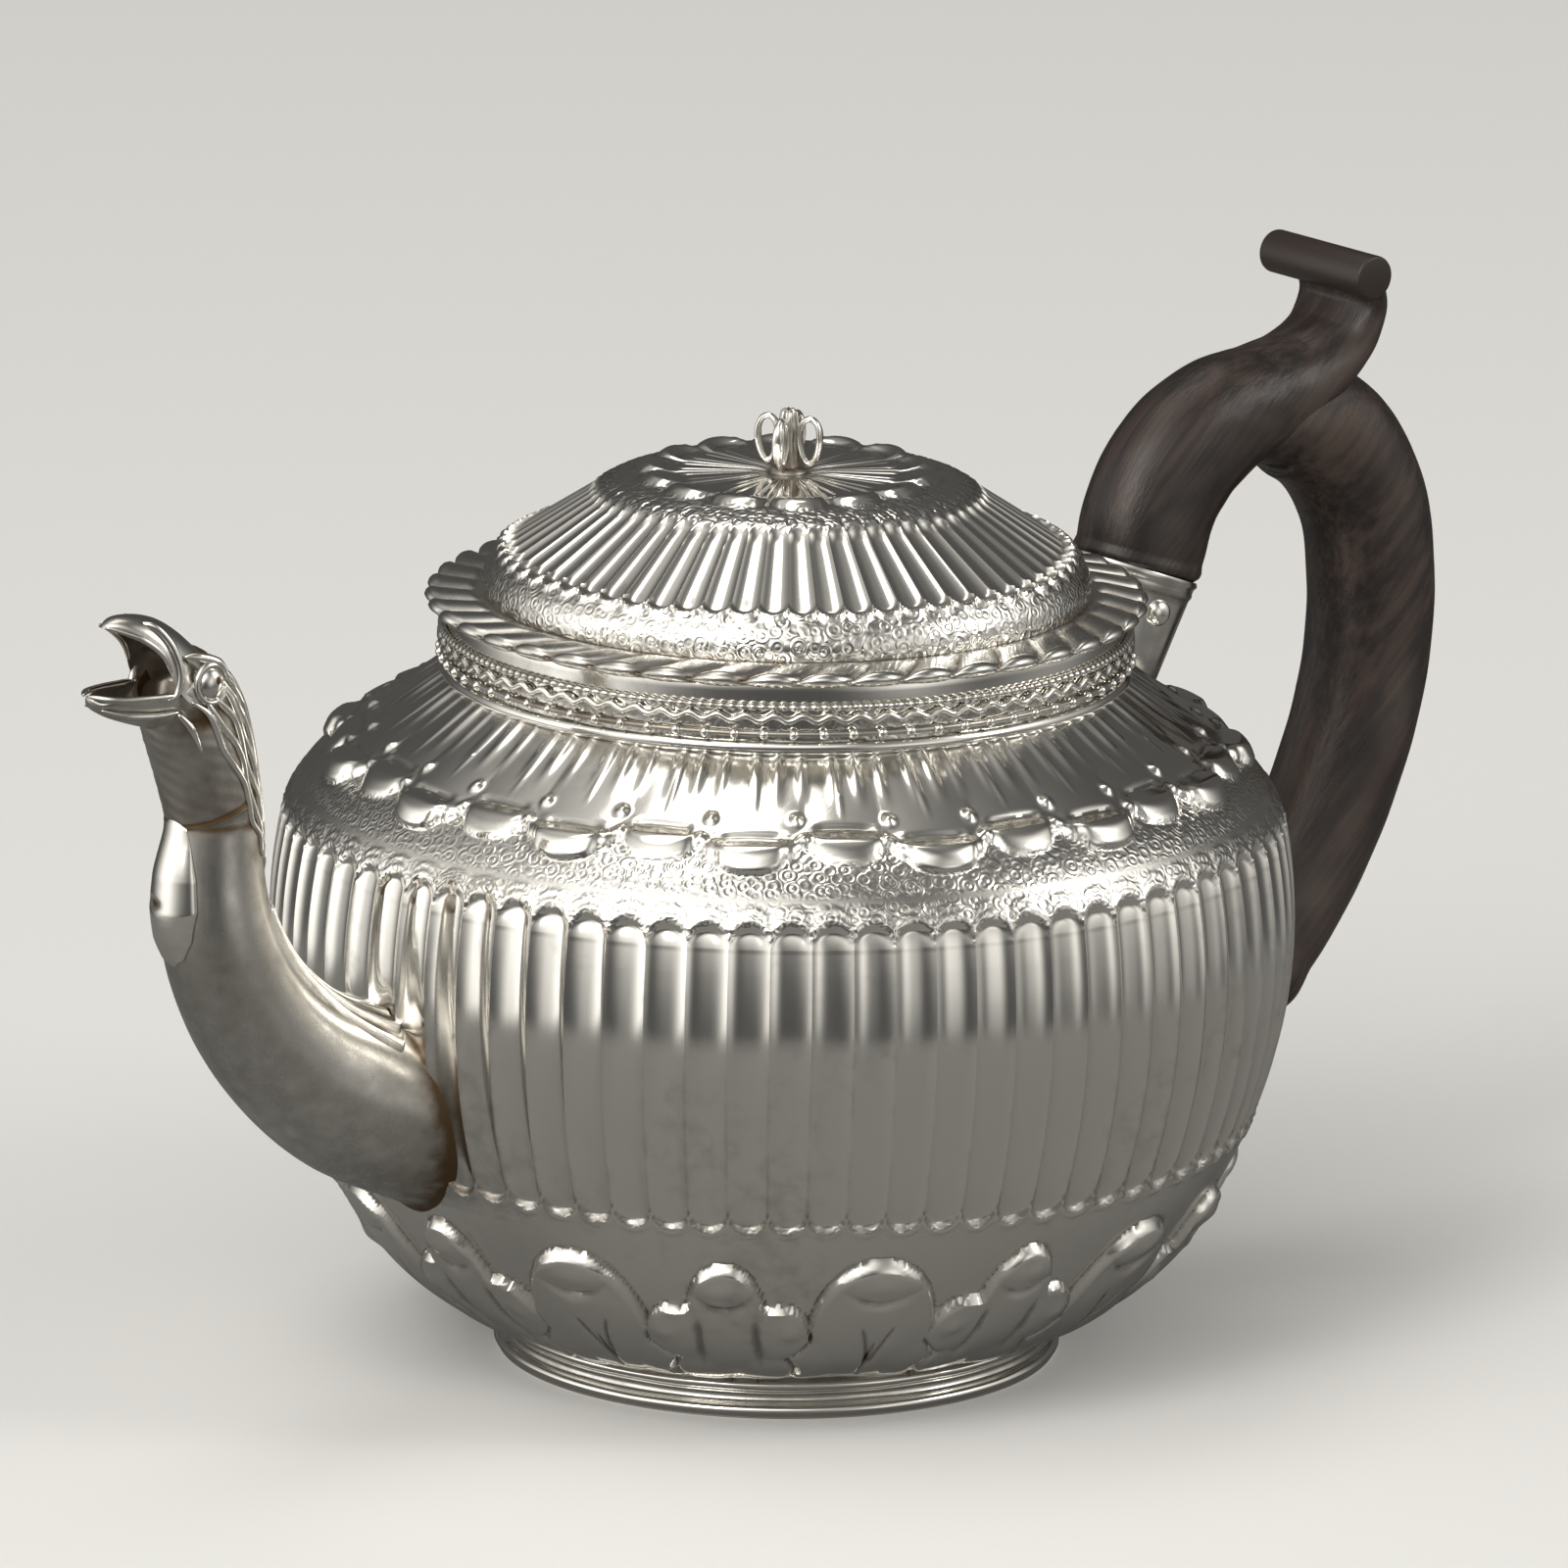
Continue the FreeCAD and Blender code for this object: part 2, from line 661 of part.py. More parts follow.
# Spout: a tapering tube, open at the neck and closed on the body's pierced wall. Its
# stations, like the head's, are measured outwards and upwards from the body's widest circle.
SPOUT_PATH = [
    ("root_out", "root_z", "root_lean", "root_radius"),
    ("hip_out", "hip_z", "hip_lean", "hip_radius"),
    ("bend_out", "bend_z", "bend_lean", "bend_radius"),
    ("chest_out", "chest_z", "chest_lean", "chest_radius"),
    ("neck_low_out", "neck_low_z", "neck_low_lean", "neck_low_radius"),
    ("neck_mid_out", "neck_mid_z", "neck_mid_lean", "neck_mid_radius"),
    ("neck_mid_out", "neck_top_z", "neck_mid_lean", "neck_top_radius"),
]


def tube(name, path, inset):
    """A loft of round sections along a path that leaves the body towards -X."""
    sections = []
    for number, (out, up, lean, radius) in enumerate(path):
        station = "%s_station_%d" % (name, number + 1)
        sections.append(ring(station, "-(body_radius + %s)" % out, "widest_z + %s" % up,
                             "180 - (%s)" % lean, "%s - %s" % (radius, inset)))
    return loft(name, sections)


spout_outside = tube("spout_outside", SPOUT_PATH, "0")
spout_bore = tube("spout_bore", SPOUT_PATH, "spout_wall")
spout_walls = cut("spout_walls", spout_outside, spout_bore)
spout_tube = cut("spout_tube", spout_walls, body_form)

# Bird's head: a hollow casting butted on the neck, its two beaks parted by an oval gape.
HEAD_PATH = [
    ("neck_mid_out", "neck_top_z", "neck_mid_lean", "head_collar_radius"),
    ("throat_out", "throat_z", "throat_lean", "throat_radius"),
    ("skull_out", "skull_z", "skull_lean", "skull_radius"),
    ("brow_out", "brow_z", "brow_lean", "brow_radius"),
    ("mouth_out", "mouth_z", "mouth_lean", "mouth_radius"),
]
bore_start = ("neck_mid_out", "neck_top_z", "neck_mid_lean", "neck_top_radius")


def flat_form(prefix):
    """A loft of broad ovals that stand upright one after the other along -X."""
    sections = []
    for spot in ("root", "mid", "tip"):
        stem = "%s_%s" % (prefix, spot)
        sections.append(broad_oval(stem, "-(body_radius + %s_out)" % stem, "widest_z + %s_z" % stem,
                                   "180", stem + "_breadth", stem + "_height"))
    return loft(prefix, sections)


head_form = tube("head_form", HEAD_PATH, "0")
head_bore = tube("head_bore", [bore_start] + HEAD_PATH[1:], "spout_wall")
head_solid = fuse("head_solid", [head_form, flat_form("low_beak"), flat_form("top_beak")])
head_open = cut("head_open", head_solid, flat_form("gape"))
spout_head = cut("spout_head", head_open, head_bore)

# Drop applied to the breast: four level rounds sunk part way into the neck.
DROP_PATH = [
    ("neck_mid_out + neck_top_radius - drop_top_sink", "neck_top_z", "90", "drop_top_radius"),
    ("neck_mid_out + neck_mid_radius - drop_waist_sink", "neck_mid_z", "90", "drop_waist_radius"),
    ("neck_low_out + neck_low_radius - drop_full_sink", "neck_low_z", "90", "drop_full_radius"),
    ("neck_low_out + neck_low_radius - drop_end_sink", "neck_low_z - drop_end_fall", "90", "drop_end_radius"),
]
drop_form = tube("drop_form", DROP_PATH, "0")
breast_drop = cut("breast_drop", drop_form, spout_outside)


def along_back(stem, radius):
    """A round that stands proud of the spout's back by the leaf's thickness."""
    reach = "(%s_radius - %s + leaf_proud)" % (stem, radius)
    out = "%s_out - %s * sin(%s_lean)" % (stem, reach, stem)
    up = "%s_z + %s * cos(%s_lean)" % (stem, reach, stem)
    return out, up, stem + "_lean", radius


leaf_form = tube("leaf_form", [
    along_back("hip", "leaf_root_radius"),
    along_back("bend", "leaf_bend_radius"),
    along_back("chest", "leaf_chest_radius"),
    along_back("neck_low", "leaf_neck_radius"),
    along_back("neck_mid", "leaf_tip_radius"),
], "0")
LEAF_END_R = "(body_radius + leaf_clearance)"
leaf_limit = turned_body("leaf_limit", [
    (LEAF_END_R, "body_base_z"),
    (LEAF_END_R, NECK_Z),
    ("0", NECK_Z),
    ("0", "body_base_z"),
])
leaf_off_body = cut("leaf_off_body", leaf_form, leaf_limit)
back_leaf = cut("back_leaf", leaf_off_body, spout_outside)


# Sockets: tapering silver cups on the body, bored for the handle's ends and their pins. The
# upper rim stands clear of the lid's border, above the sloping shoulder.
GRIP_DEPTH = "(grip_breadth + grip_oval)"
UPPER_OUT = "(%s + handle_lid_gap + %s)" % (BORDER_R, GRIP_DEPTH)
RIMS = {
    "upper": (UPPER_OUT, "(%s + upper_rise)" % shoulder_height(UPPER_OUT, "0")),
    "lower": ("(body_radius + lower_rim_out)", "(widest_z + lower_rim_z)"),
}


def along(stem, step):
    """A point of a socket's axis, a step inwards from its rim."""
    rim_out, rim_up = RIMS[stem]
    out = "(%s - (%s) * cos(%s_lean))" % (rim_out, step, stem)
    up = "(%s - (%s) * sin(%s_lean))" % (rim_up, step, stem)
    return out, up, stem + "_lean"


def socket(stem):
    reach = stem + "_reach"
    shaft = loft(stem + "_shaft", [
        oval(stem + "_rim", *along(stem, "0"), GRIP_DEPTH, "grip_breadth"),
        oval(stem + "_root", *along(stem, reach), GRIP_DEPTH + " - socket_taper",
             "grip_breadth - socket_taper"),
    ], ruled=True)
    inner = "(%s - socket_wall - socket_taper * %s / %s)"
    pocket = loft(stem + "_pocket", [
        oval(stem + "_pocket_rim", *along(stem, "0"), GRIP_DEPTH + " - socket_wall",
             "grip_breadth - socket_wall"),
        oval(stem + "_pocket_end", *along(stem, "socket_depth"),
             inner % (GRIP_DEPTH, "socket_depth", reach), inner % ("grip_breadth", "socket_depth", reach)),
    ], ruled=True)
    pin_out, pin_up, lean = along(stem, "pin_setback")
    bore = rod(stem + "_pin_bore", pin_out, pin_up, "pin_radius + pin_clearance", "4 * grip_breadth")
    on_body = cut(stem + "_cup", shaft, body_form)
    hollow = cut(stem + "_hollow", on_body, pocket)
    return cut("handle_%s_socket" % stem, hollow, bore)


upper_socket = socket("upper")
lower_socket = socket("lower")


# Pins: a rod through socket and wood, with a domed head riveted over at each side.
def pin(stem):
    out, up, lean = along(stem, "pin_setback")
    half = "(grip_breadth - socket_taper * pin_setback / %s_reach + pin_head_gap)" % stem
    shaft = rod(stem + "_pin_shaft", out, up, "pin_radius", "2 * %s" % half)
    heads = []
    for side, sign in (("near", "-"), ("far", "")):
        dome = doc.addObject("Part::Ellipsoid", "%s_pin_%s" % (stem, side))
        dome.setExpression("Radius1", bound("pin_head_height"))
        dome.setExpression("Radius2", bound("pin_head_radius"))
        dome.setExpression("Radius3", bound("pin_head_radius"))
        quarter = -90.0 if sign == "" else 90.0
        dome.Placement = FreeCAD.Placement(
            FreeCAD.Vector(0, 0, 0), FreeCAD.Rotation(FreeCAD.Vector(1, 0, 0), quarter))
        dome.Angle1 = 0.0
        dome.setExpression("Placement.Base.x", bound(out))
        dome.setExpression("Placement.Base.y", bound("%s%s" % (sign, half)))
        dome.setExpression("Placement.Base.z", bound(up))
        heads.append(dome)
    return fuse("handle_%s_pin" % stem, [shaft] + heads)


upper_pin = pin("upper")
lower_pin = pin("lower")

# Wooden handle: the C, its thumb rest and the two tenons, carved from one piece. The arch
# is measured from the upper rim, and the back and the heel from the body's widest circle.
ARCH_PATH = ["arm", "arch_rise", "arch_front", "arch_top", "arch_back"]
BACK_PATH = ["back_high", "back_mid", "back_low", "heel_high", "heel", "tail"]


def from_rim(stem):
    rim_out, rim_up = RIMS["upper"]
    return "%s + %s_out" % (rim_out, stem), "%s + %s_z" % (rim_up, stem)


def from_body(stem):
    return "body_radius + %s_out" % stem, "widest_z + %s_z" % stem


grip_sections = [oval("grip_upper_end", *along("upper", "0"), GRIP_DEPTH, "grip_breadth")]
for stems, start in ((ARCH_PATH, from_rim), (BACK_PATH, from_body)):
    for stem in stems:
        grip_sections.append(oval("grip_" + stem, *start(stem), stem + "_lean", GRIP_DEPTH, "grip_breadth"))
grip_sections.append(oval("grip_lower_end", *RIMS["lower"], "lower_lean - 180", GRIP_DEPTH, "grip_breadth"))
grip_bow = loft("grip_bow", grip_sections)

tongue_sections = []
for stem in ("tongue_root", "tongue_low", "tongue_bend", "tongue_high"):
    tongue_sections.append(broad_oval(stem, *from_rim(stem), stem + "_lean",
                                      "tongue_breadth", stem + "_depth"))
tongue_sections.append(broad_oval("tongue_end", *from_rim("roll"), "tongue_end_lean",
                                  "tongue_breadth", "tongue_end_depth"))
grip_tongue = loft("grip_tongue", tongue_sections)
grip_roll = rod("grip_roll", *from_rim("roll"), "roll_radius", "roll_length")


def tenon(stem):
    """The end of the wood, a clearance smaller than its socket's pocket all round."""
    gap = "(socket_wall + tenon_clearance)"
    length = "(socket_depth - tenon_clearance)"
    narrow = "(%%s - %s - socket_taper * %s / %s_reach)" % (gap, length, stem)
    return loft(stem + "_tenon", [
        oval(stem + "_tenon_start", *along(stem, "0"), "%s - %s" % (GRIP_DEPTH, gap),
             "grip_breadth - " + gap),
        oval(stem + "_tenon_end", *along(stem, length), narrow % GRIP_DEPTH, narrow % "grip_breadth"),
    ], ruled=True)


grip_block = fuse("grip_block", [grip_bow, grip_tongue, grip_roll, tenon("upper"), tenon("lower")])
pin_holes = []
for stem in ("upper", "lower"):
    out, up, lean = along(stem, "pin_setback")
    pin_holes.append(rod(stem + "_wood_bore", out, up, "pin_radius + pin_clearance", "4 * grip_breadth"))
handle_grip = cut("handle_grip", grip_block, fuse("pin_holes", pin_holes))

doc.recompute()

NODES = {
    "body_shell": body_shell,
    "foot_ring": foot_ring,
    "neck_collar": neck_collar,
    "neck_moulding": neck_moulding,
    "collar_bead_wire": bead_wire,
    "collar_wave_wire": wave_wire,
    "collar_milled_wire": milled_wire,
    "spout_tube": spout_tube,
    "spout_head": spout_head,
    "spout_breast_drop": breast_drop,
    "spout_back_leaf": back_leaf,
    "handle_upper_socket": upper_socket,
    "handle_upper_pin": upper_pin,
    "handle_lower_socket": lower_socket,
    "handle_lower_pin": lower_pin,
    "handle_grip": handle_grip,
    "lid_border": lid_border,
    "lid_bezel": lid_bezel,
    "lid_dome": lid_dome,
    "finial_post": finial_post,
    "finial_scrolls": finial_scrolls,
    "finial_washer": finial_washer,
    "finial_nut": finial_nut,
}

for item in doc.Objects:
    if "Invalid" in item.State or "Error" in item.State:
        raise RuntimeError("%s failed: %s" % (item.Name, item.State))
for node, item in NODES.items():
    item.Label = node
    if item.Shape.isNull() or not item.Shape.isValid():
        raise RuntimeError(node + " has no valid shape")
solid_body = math.pi * (size("body_radius") ** 2) * size(NECK_Z)
if not 0 < body_shell.Shape.Volume < solid_body / 10:
    raise RuntimeError("the body is not a shell")

os.makedirs("parts", exist_ok=True)
for node, item in NODES.items():
    item.Shape.exportStep("parts/%s.step" % node)
    box = item.Shape.BoundBox
    print("%-20s solids %d volume %9.1f  x %.1f..%.1f  y %.1f..%.1f  z %.1f..%.1f" % (
        node, len(item.Shape.Solids), item.Shape.Volume,
        box.XMin, box.XMax, box.YMin, box.YMax, box.ZMin, box.ZMax))
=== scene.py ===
"""Looks of a chased silver teapot: fluted body, bird's-head spout, lift-off lid, wooden handle.

Shapes are written in millimetres and scaled to the frame's metres when a piece is made.
"""
import math

import bmesh
import bpy
import numpy as np
from mathutils import Matrix, Quaternion, Vector


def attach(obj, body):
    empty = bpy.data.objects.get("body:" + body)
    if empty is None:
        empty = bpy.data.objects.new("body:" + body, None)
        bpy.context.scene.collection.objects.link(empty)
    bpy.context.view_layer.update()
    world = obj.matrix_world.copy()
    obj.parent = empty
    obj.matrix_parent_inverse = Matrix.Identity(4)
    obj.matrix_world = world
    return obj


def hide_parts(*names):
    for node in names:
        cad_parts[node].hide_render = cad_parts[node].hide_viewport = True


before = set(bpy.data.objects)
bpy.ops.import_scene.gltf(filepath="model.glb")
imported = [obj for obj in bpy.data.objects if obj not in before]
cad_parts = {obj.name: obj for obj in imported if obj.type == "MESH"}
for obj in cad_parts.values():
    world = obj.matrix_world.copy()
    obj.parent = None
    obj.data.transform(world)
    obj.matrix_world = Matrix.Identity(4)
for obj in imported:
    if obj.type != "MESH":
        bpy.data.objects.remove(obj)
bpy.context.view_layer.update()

# Body: raised from one sheet of silver, with a bowl, a full side and a sloping shoulder. It is
# polished by hand, so bright on what stands proud and brown in what a cloth can't reach.
# It is worked here in three rings that meet where the metal is plain.
MM = 0.001

# Arcs of its outline, each with its centre's distance from the axis and height, and its radius.
SIDE = (0.98, 57.0, 65.0)
BOWL = (23.03, 41.74, 38.2)
TURN = (50.15, 66.2, 15.0)
BASE_Z = 6.0
NECK_R = 43.6
NECK_Z = 89.1
BODY_WALL = 1.0
RING_STEPS = 1092

# Its metal, from freshly rubbed to tarnished, and how large the marks of age and tools are.
SILVER_LIGHT = (0.86, 0.84, 0.79, 1.0)
SILVER_GREY = (0.53, 0.515, 0.48, 1.0)
TARNISH_BROWN = (0.13, 0.085, 0.045, 1.0)
BRIGHT_TARNISH = -0.12
DULL_RANGE = (0.58, 1.0)
BROWN_RANGE = (0.92, 1.55)
CLOUD_SCALE = 38.0
SPECK_SCALE = 420.0
DENT_SCALE = 95.0
RUB_SCALE = 260.0
RUB_STRETCH = (9.0, 9.0, 1.0)
PUNCH_SCALE = 620.0
PUNCH_RINGS = 15.0
POLISH = 0.085
MARK_DEPTH = 0.0004
MARK_STRENGTH = 0.35


def fill(tree, node, given):
    """Sets a node's inputs, each to a plain value or to the output of another node."""
    for key, value in given.items():
        if isinstance(value, bpy.types.NodeSocket):
            tree.links.new(value, node.inputs[key])
        else:
            node.inputs[key].default_value = value


def noise_node(tree, coords, scale, detail, stretch=(1.0, 1.0, 1.0)):
    """Noise on object coordinates, with its cells stretched along the axes."""
    turn = tree.nodes.new("ShaderNodeMapping")
    fill(tree, turn, {"Scale": stretch, "Vector": coords})
    noise = tree.nodes.new("ShaderNodeTexNoise")
    fill(tree, noise, {"Scale": scale, "Detail": detail, "Vector": turn.outputs["Vector"]})
    return noise.outputs["Fac"]


def math_node(tree, kind, first, second):
    node = tree.nodes.new("ShaderNodeMath")
    node.operation = kind
    fill(tree, node, {0: first, 1: second})
    return node.outputs["Value"]


def weighted_sum(tree, start, *terms):
    """A start value plus other values, each taken with its own weight."""
    total = start
    for value, weight in terms:
        total = math_node(tree, "ADD", total, math_node(tree, "MULTIPLY", value, weight))
    return total


def ramp_between(tree, value, low, high):
    """Maps a value from low..high onto 0..1, smoothly and clamped."""
    node = tree.nodes.new("ShaderNodeMapRange")
    node.interpolation_type = "SMOOTHSTEP"
    fill(tree, node, {"From Min": low, "From Max": high, "Value": value})
    return node.outputs["Result"]


def mixed(tree, factor, first, second):
    node = tree.nodes.new("ShaderNodeMix")
    node.data_type = "RGBA"
    fill(tree, node, {"Factor": factor, 6: first, 7: second})
    return node.outputs[2]


def worn_silver_group():
    """Colour, roughness and height of worn silver, from how hollow, stippled and tarnished it is; on the
    darker pieces part of that tarnish is painted shade.
    """
    group = bpy.data.node_groups.new("worn_silver", "ShaderNodeTree")
    for name in ("Hollow", "Stipple", "Tarnish and shade"):
        group.interface.new_socket(name=name, in_out="INPUT", socket_type="NodeSocketFloat")
    group.interface.new_socket(name="Colour", in_out="OUTPUT", socket_type="NodeSocketColor")
    for name in ("Roughness", "Height"):
        group.interface.new_socket(name=name, in_out="OUTPUT", socket_type="NodeSocketFloat")
    given = group.nodes.new("NodeGroupInput")
    result = group.nodes.new("NodeGroupOutput")
    coords = group.nodes.new("ShaderNodeTexCoord").outputs["Object"]
    clouds = noise_node(group, coords, CLOUD_SCALE, 4.0)
    specks = noise_node(group, coords, SPECK_SCALE, 5.0)
    dents = noise_node(group, coords, DENT_SCALE, 1.0)
    rubbed_and_sheen = noise_node(group, coords, RUB_SCALE, 3.0, RUB_STRETCH)
    punches = group.nodes.new("ShaderNodeTexVoronoi")
    fill(group, punches, {"Scale": PUNCH_SCALE, "Vector": coords})
    aged = math_node(group, "ADD", given.outputs["Hollow"], given.outputs["Tarnish and shade"])
    stain = weighted_sum(group, aged, (clouds, 0.75), (specks, 0.55))
    brown = ramp_between(group, stain, *BROWN_RANGE)
    dull = ramp_between(group, stain, *DULL_RANGE)
    metal = mixed(group, dull, SILVER_LIGHT, SILVER_GREY)
    colour = mixed(group, brown, metal, TARNISH_BROWN)
    gloss = weighted_sum(group, POLISH, (dull, 0.16), (brown, 0.3), (rubbed_and_sheen, 0.06))
    rings = math_node(group, "MULTIPLY", punches.outputs["Distance"], PUNCH_RINGS)
    rings = math_node(group, "SINE", rings, 0.0)
    grain = math_node(group, "MULTIPLY", rings, given.outputs["Stipple"])
    height = weighted_sum(group, 0.0, (dents, 0.6), (grain, 0.22), (rubbed_and_sheen, 0.02))
    fill(group, result, {"Colour": colour, "Roughness": gloss, "Height": height})
    return group


WORN_SILVER = worn_silver_group()


def silver_finish(name, tarnish_and_shade):
    """Silver that reads how hollow and how stippled each point of a piece is."""
    finish = bpy.data.materials.new(name)
    finish.use_nodes = True
    tree = finish.node_tree
    worn = tree.nodes.new("ShaderNodeGroup")
    worn.node_tree = WORN_SILVER
    fill(tree, worn, {"Tarnish and shade": tarnish_and_shade})
    for socket, layer in (("Hollow", "hollow"), ("Stipple", "stipple")):
        reader = tree.nodes.new("ShaderNodeAttribute")
        reader.attribute_name = layer
        fill(tree, worn, {socket: reader.outputs["Fac"]})
    bump = tree.nodes.new("ShaderNodeBump")
    fill(tree, bump, {"Strength": MARK_STRENGTH, "Distance": MARK_DEPTH, "Height": worn.outputs["Height"]})
    fill(tree, tree.nodes["Principled BSDF"], {
        "Metallic": 1.0, "Base Color": worn.outputs["Colour"], "Roughness": worn.outputs["Roughness"],
        "Normal": bump.outputs["Normal"],
    })
    return finish


bright_silver = silver_finish("bright_silver", BRIGHT_TARNISH)


def arc_points(centre, first, last, count):
    """Points of an arc from one angle to another, in degrees, as (radius, height)."""
    across, up, round_ = centre
    angles = np.radians(np.linspace(first, last, count))
    return [(across + round_ * math.cos(a), up + round_ * math.sin(a)) for a in angles]


def inset_points(points, depth):
    """The same line, moved towards the inside of the vessel."""
    flat = np.array(points)
    run = np.gradient(flat, axis=0)
    run /= np.linalg.norm(run, axis=1)[:, None]
    return [tuple(p) for p in flat + depth * np.stack([-run[:, 1], run[:, 0]], axis=1)]


def ease(values, low, high):
    """0 below low, 1 above high, smooth between."""
    share = np.clip((values - low) / (high - low), 0.0, 1.0)
    return share * share * (3.0 - 2.0 * share)


def hump(values, middle, spread):
    """1 at the middle, falling smoothly towards 0 on both sides."""
    return np.exp(-((values - middle) / spread) ** 2)


def new_form():
    """An empty form whose points can tell if they are outside, and how hollow and stippled."""
    form = bmesh.new()
    for name in ("outside", "hollow", "stipple"):
        form.verts.layers.float.new(name)
    return form


def turned(outside, inside, steps):
    """A closed ring about Z: a grid bent round it, with its outer points marked."""
    form = new_form()
    mark = form.verts.layers.float["outside"]
    section = list(outside) + list(inside)
    grid = bmesh.ops.create_grid(form, x_segments=steps, y_segments=len(section), size=0.5)
    for vert in grid["verts"]:
        turn = 2 * math.pi * (round((vert.co.x + 0.5) * steps) % steps) / steps
        row = round((vert.co.y + 0.5) * len(section)) % len(section)
        across, up = section[row]
        vert.co = (across * math.cos(turn), across * math.sin(turn), up)
        vert[mark] = float(row < len(outside))
    bmesh.ops.remove_doubles(form, verts=form.verts, dist=0.001)
    bmesh.ops.recalc_face_normals(form, faces=form.faces)
    form.normal_update()
    return form


def chase(form, relief):
    """Moves the outer points along their normals by a relief of angle, radius and height,
    and keeps how hollow and how stippled each one is."""
    spots = np.array([v.co for v in form.verts])
    normals = np.array([v.normal for v in form.verts])
    mark = form.verts.layers.float["outside"]
    outside = np.array([v[mark] for v in form.verts])
    angle = np.arctan2(spots[:, 1], spots[:, 0])
    raised, hollow, stipple = relief(angle, np.hypot(spots[:, 0], spots[:, 1]), spots[:, 2])
    moved = spots + normals * (raised * outside)[:, None]
    hollow_layer = form.verts.layers.float["hollow"]
    stipple_layer = form.verts.layers.float["stipple"]
    for vert, spot, low, dots in zip(form.verts, moved, hollow * outside, stipple * outside):
        vert.co = spot
        vert[hollow_layer] = low
        vert[stipple_layer] = dots


def finished(name, form, body, nodes, finish, crease=50.0):
    """Turns a form's faces outwards, makes a piece of it and puts the piece on its body."""
    bmesh.ops.recalc_face_normals(form, faces=form.faces)
    bmesh.ops.scale(form, vec=(MM, MM, MM), verts=form.verts)
    mesh = bpy.data.meshes.new(name)
    form.to_mesh(mesh)
    form.free()
    mesh.shade_smooth()
    mesh.set_sharp_from_angle(angle=math.radians(crease))
    mesh.materials.append(finish)
    item = bpy.data.objects.new(name, mesh)
    bpy.context.scene.collection.objects.link(item)
    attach(item, body)
    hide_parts(*nodes)


def chased_ring(name, outside, inside, steps, relief, body, node, finish, crease=50.0):
    """A ring turned from its outer and inner lines, chased with a relief and made into a piece."""
    form = turned(outside, inside, steps)
    chase(form, relief)
    finished(name, form, body, [node], finish, crease=crease)


def across_period(angle, count, offset=0.0):
    """How far across its repeat an angle lies, from -1 to 1."""
    return 2.0 * (np.mod(angle * count / (2 * math.pi) + offset, 1.0) - 0.5)


def fluting(angle, line, low, high, count, depth, half, lip):
    """Concave flutes with sharp arrises and round ends, along a line that runs up the piece."""
    share = across_period(angle, count)
    end = half * (1.0 - np.sqrt(1.0 - 0.98 * share ** 2))
    above = high - end - line
    below = line - low - end
    inside = ease(above, 0.0, 1.3) * ease(below, 0.0, 0.9)
    rim = hump(above, -0.45, 0.4) + 0.7 * hump(above, -1.5, 0.35) + 1.4 * hump(below, -0.4, 0.4)
    raised = -depth * (1.0 - np.abs(share) ** 2.8) * inside + lip * rim
    ends = 0.5 * hump(above, -0.95, 0.3) + 2.2 * hump(below, 0.3, 0.4)
    return raised, inside, ends + 0.5 * hump(np.abs(share), 1.0, 0.06) * inside


FLUTES = 78
FLUTE_LOW = 31.6
FLUTE_HIGH = 72.6
FLUTE_DEPTH = 0.62
FLUTE_HALF = 2.6
FLUTE_LIP = 0.18
PLAIN_LOW = 29.4
PLAIN_HIGH = 75.0
SEAM = 0.8
ENDS_LOW = 35.0
ENDS_HIGH = 66.0


def arc_angle(arc, height):
    """The angle, in degrees, at which an arc of the outline passes a height."""
    return math.degrees(math.asin((height - arc[1]) / arc[2]))


TURN_START = 10.6
TURN_END = 55.0
ends_low = arc_points(SIDE, arc_angle(SIDE, PLAIN_LOW), arc_angle(SIDE, ENDS_LOW), 22)
side_middle = arc_points(SIDE, arc_angle(SIDE, ENDS_LOW), arc_angle(SIDE, ENDS_HIGH), 18)
side_top = arc_points(SIDE, arc_angle(SIDE, ENDS_HIGH), TURN_START, 9)
turn_low = arc_points(TURN, TURN_START, arc_angle(TURN, PLAIN_HIGH), 31)
flute_line = ends_low + side_middle[1:] + side_top[1:] + turn_low[1:]
flute_inner = inset_points(flute_line, BODY_WALL)[::6]


def flute_relief(angle, radius, height):
    wander = 0.25 * np.sin(3 * angle + 1.0) + 0.18 * np.sin(7 * angle)
    raised, inside, ends = fluting(angle, height + wander, FLUTE_LOW, FLUTE_HIGH, FLUTES, FLUTE_DEPTH,
                                   FLUTE_HALF, FLUTE_LIP)
    seam = ease(height, PLAIN_LOW, PLAIN_LOW + SEAM) * ease(-height, -PLAIN_HIGH, -PLAIN_HIGH + SEAM)
    spout_side = hump(np.abs(angle), math.pi, 0.28) * hump(height, 42.0, 16.0)
    return raised * seam, 0.25 * ends + 0.55 * spout_side, (1.0 - inside) * seam * 0.6


chased_ring("body_flutes", flute_line, flute_inner[::-1], RING_STEPS, flute_relief,
            "pot", "body_shell", bright_silver)

# Shoulder: broad leaves hang from the neck with turned-over tips, knots where their lobes
# meet and stems that run up to the collar, chased on a stippled ground.
LEAVES = 15
LEAF_TIP_Z = 77.4

# Its rows of leaves: offset, where their tips are, width, and how proud leaf and cap stand.
FRONT_ROW = (0.0, 1.0, 0.54, 0.70, 1.15)
BACK_ROW = (0.5, 0.92, 0.54, 0.50, 0.65)

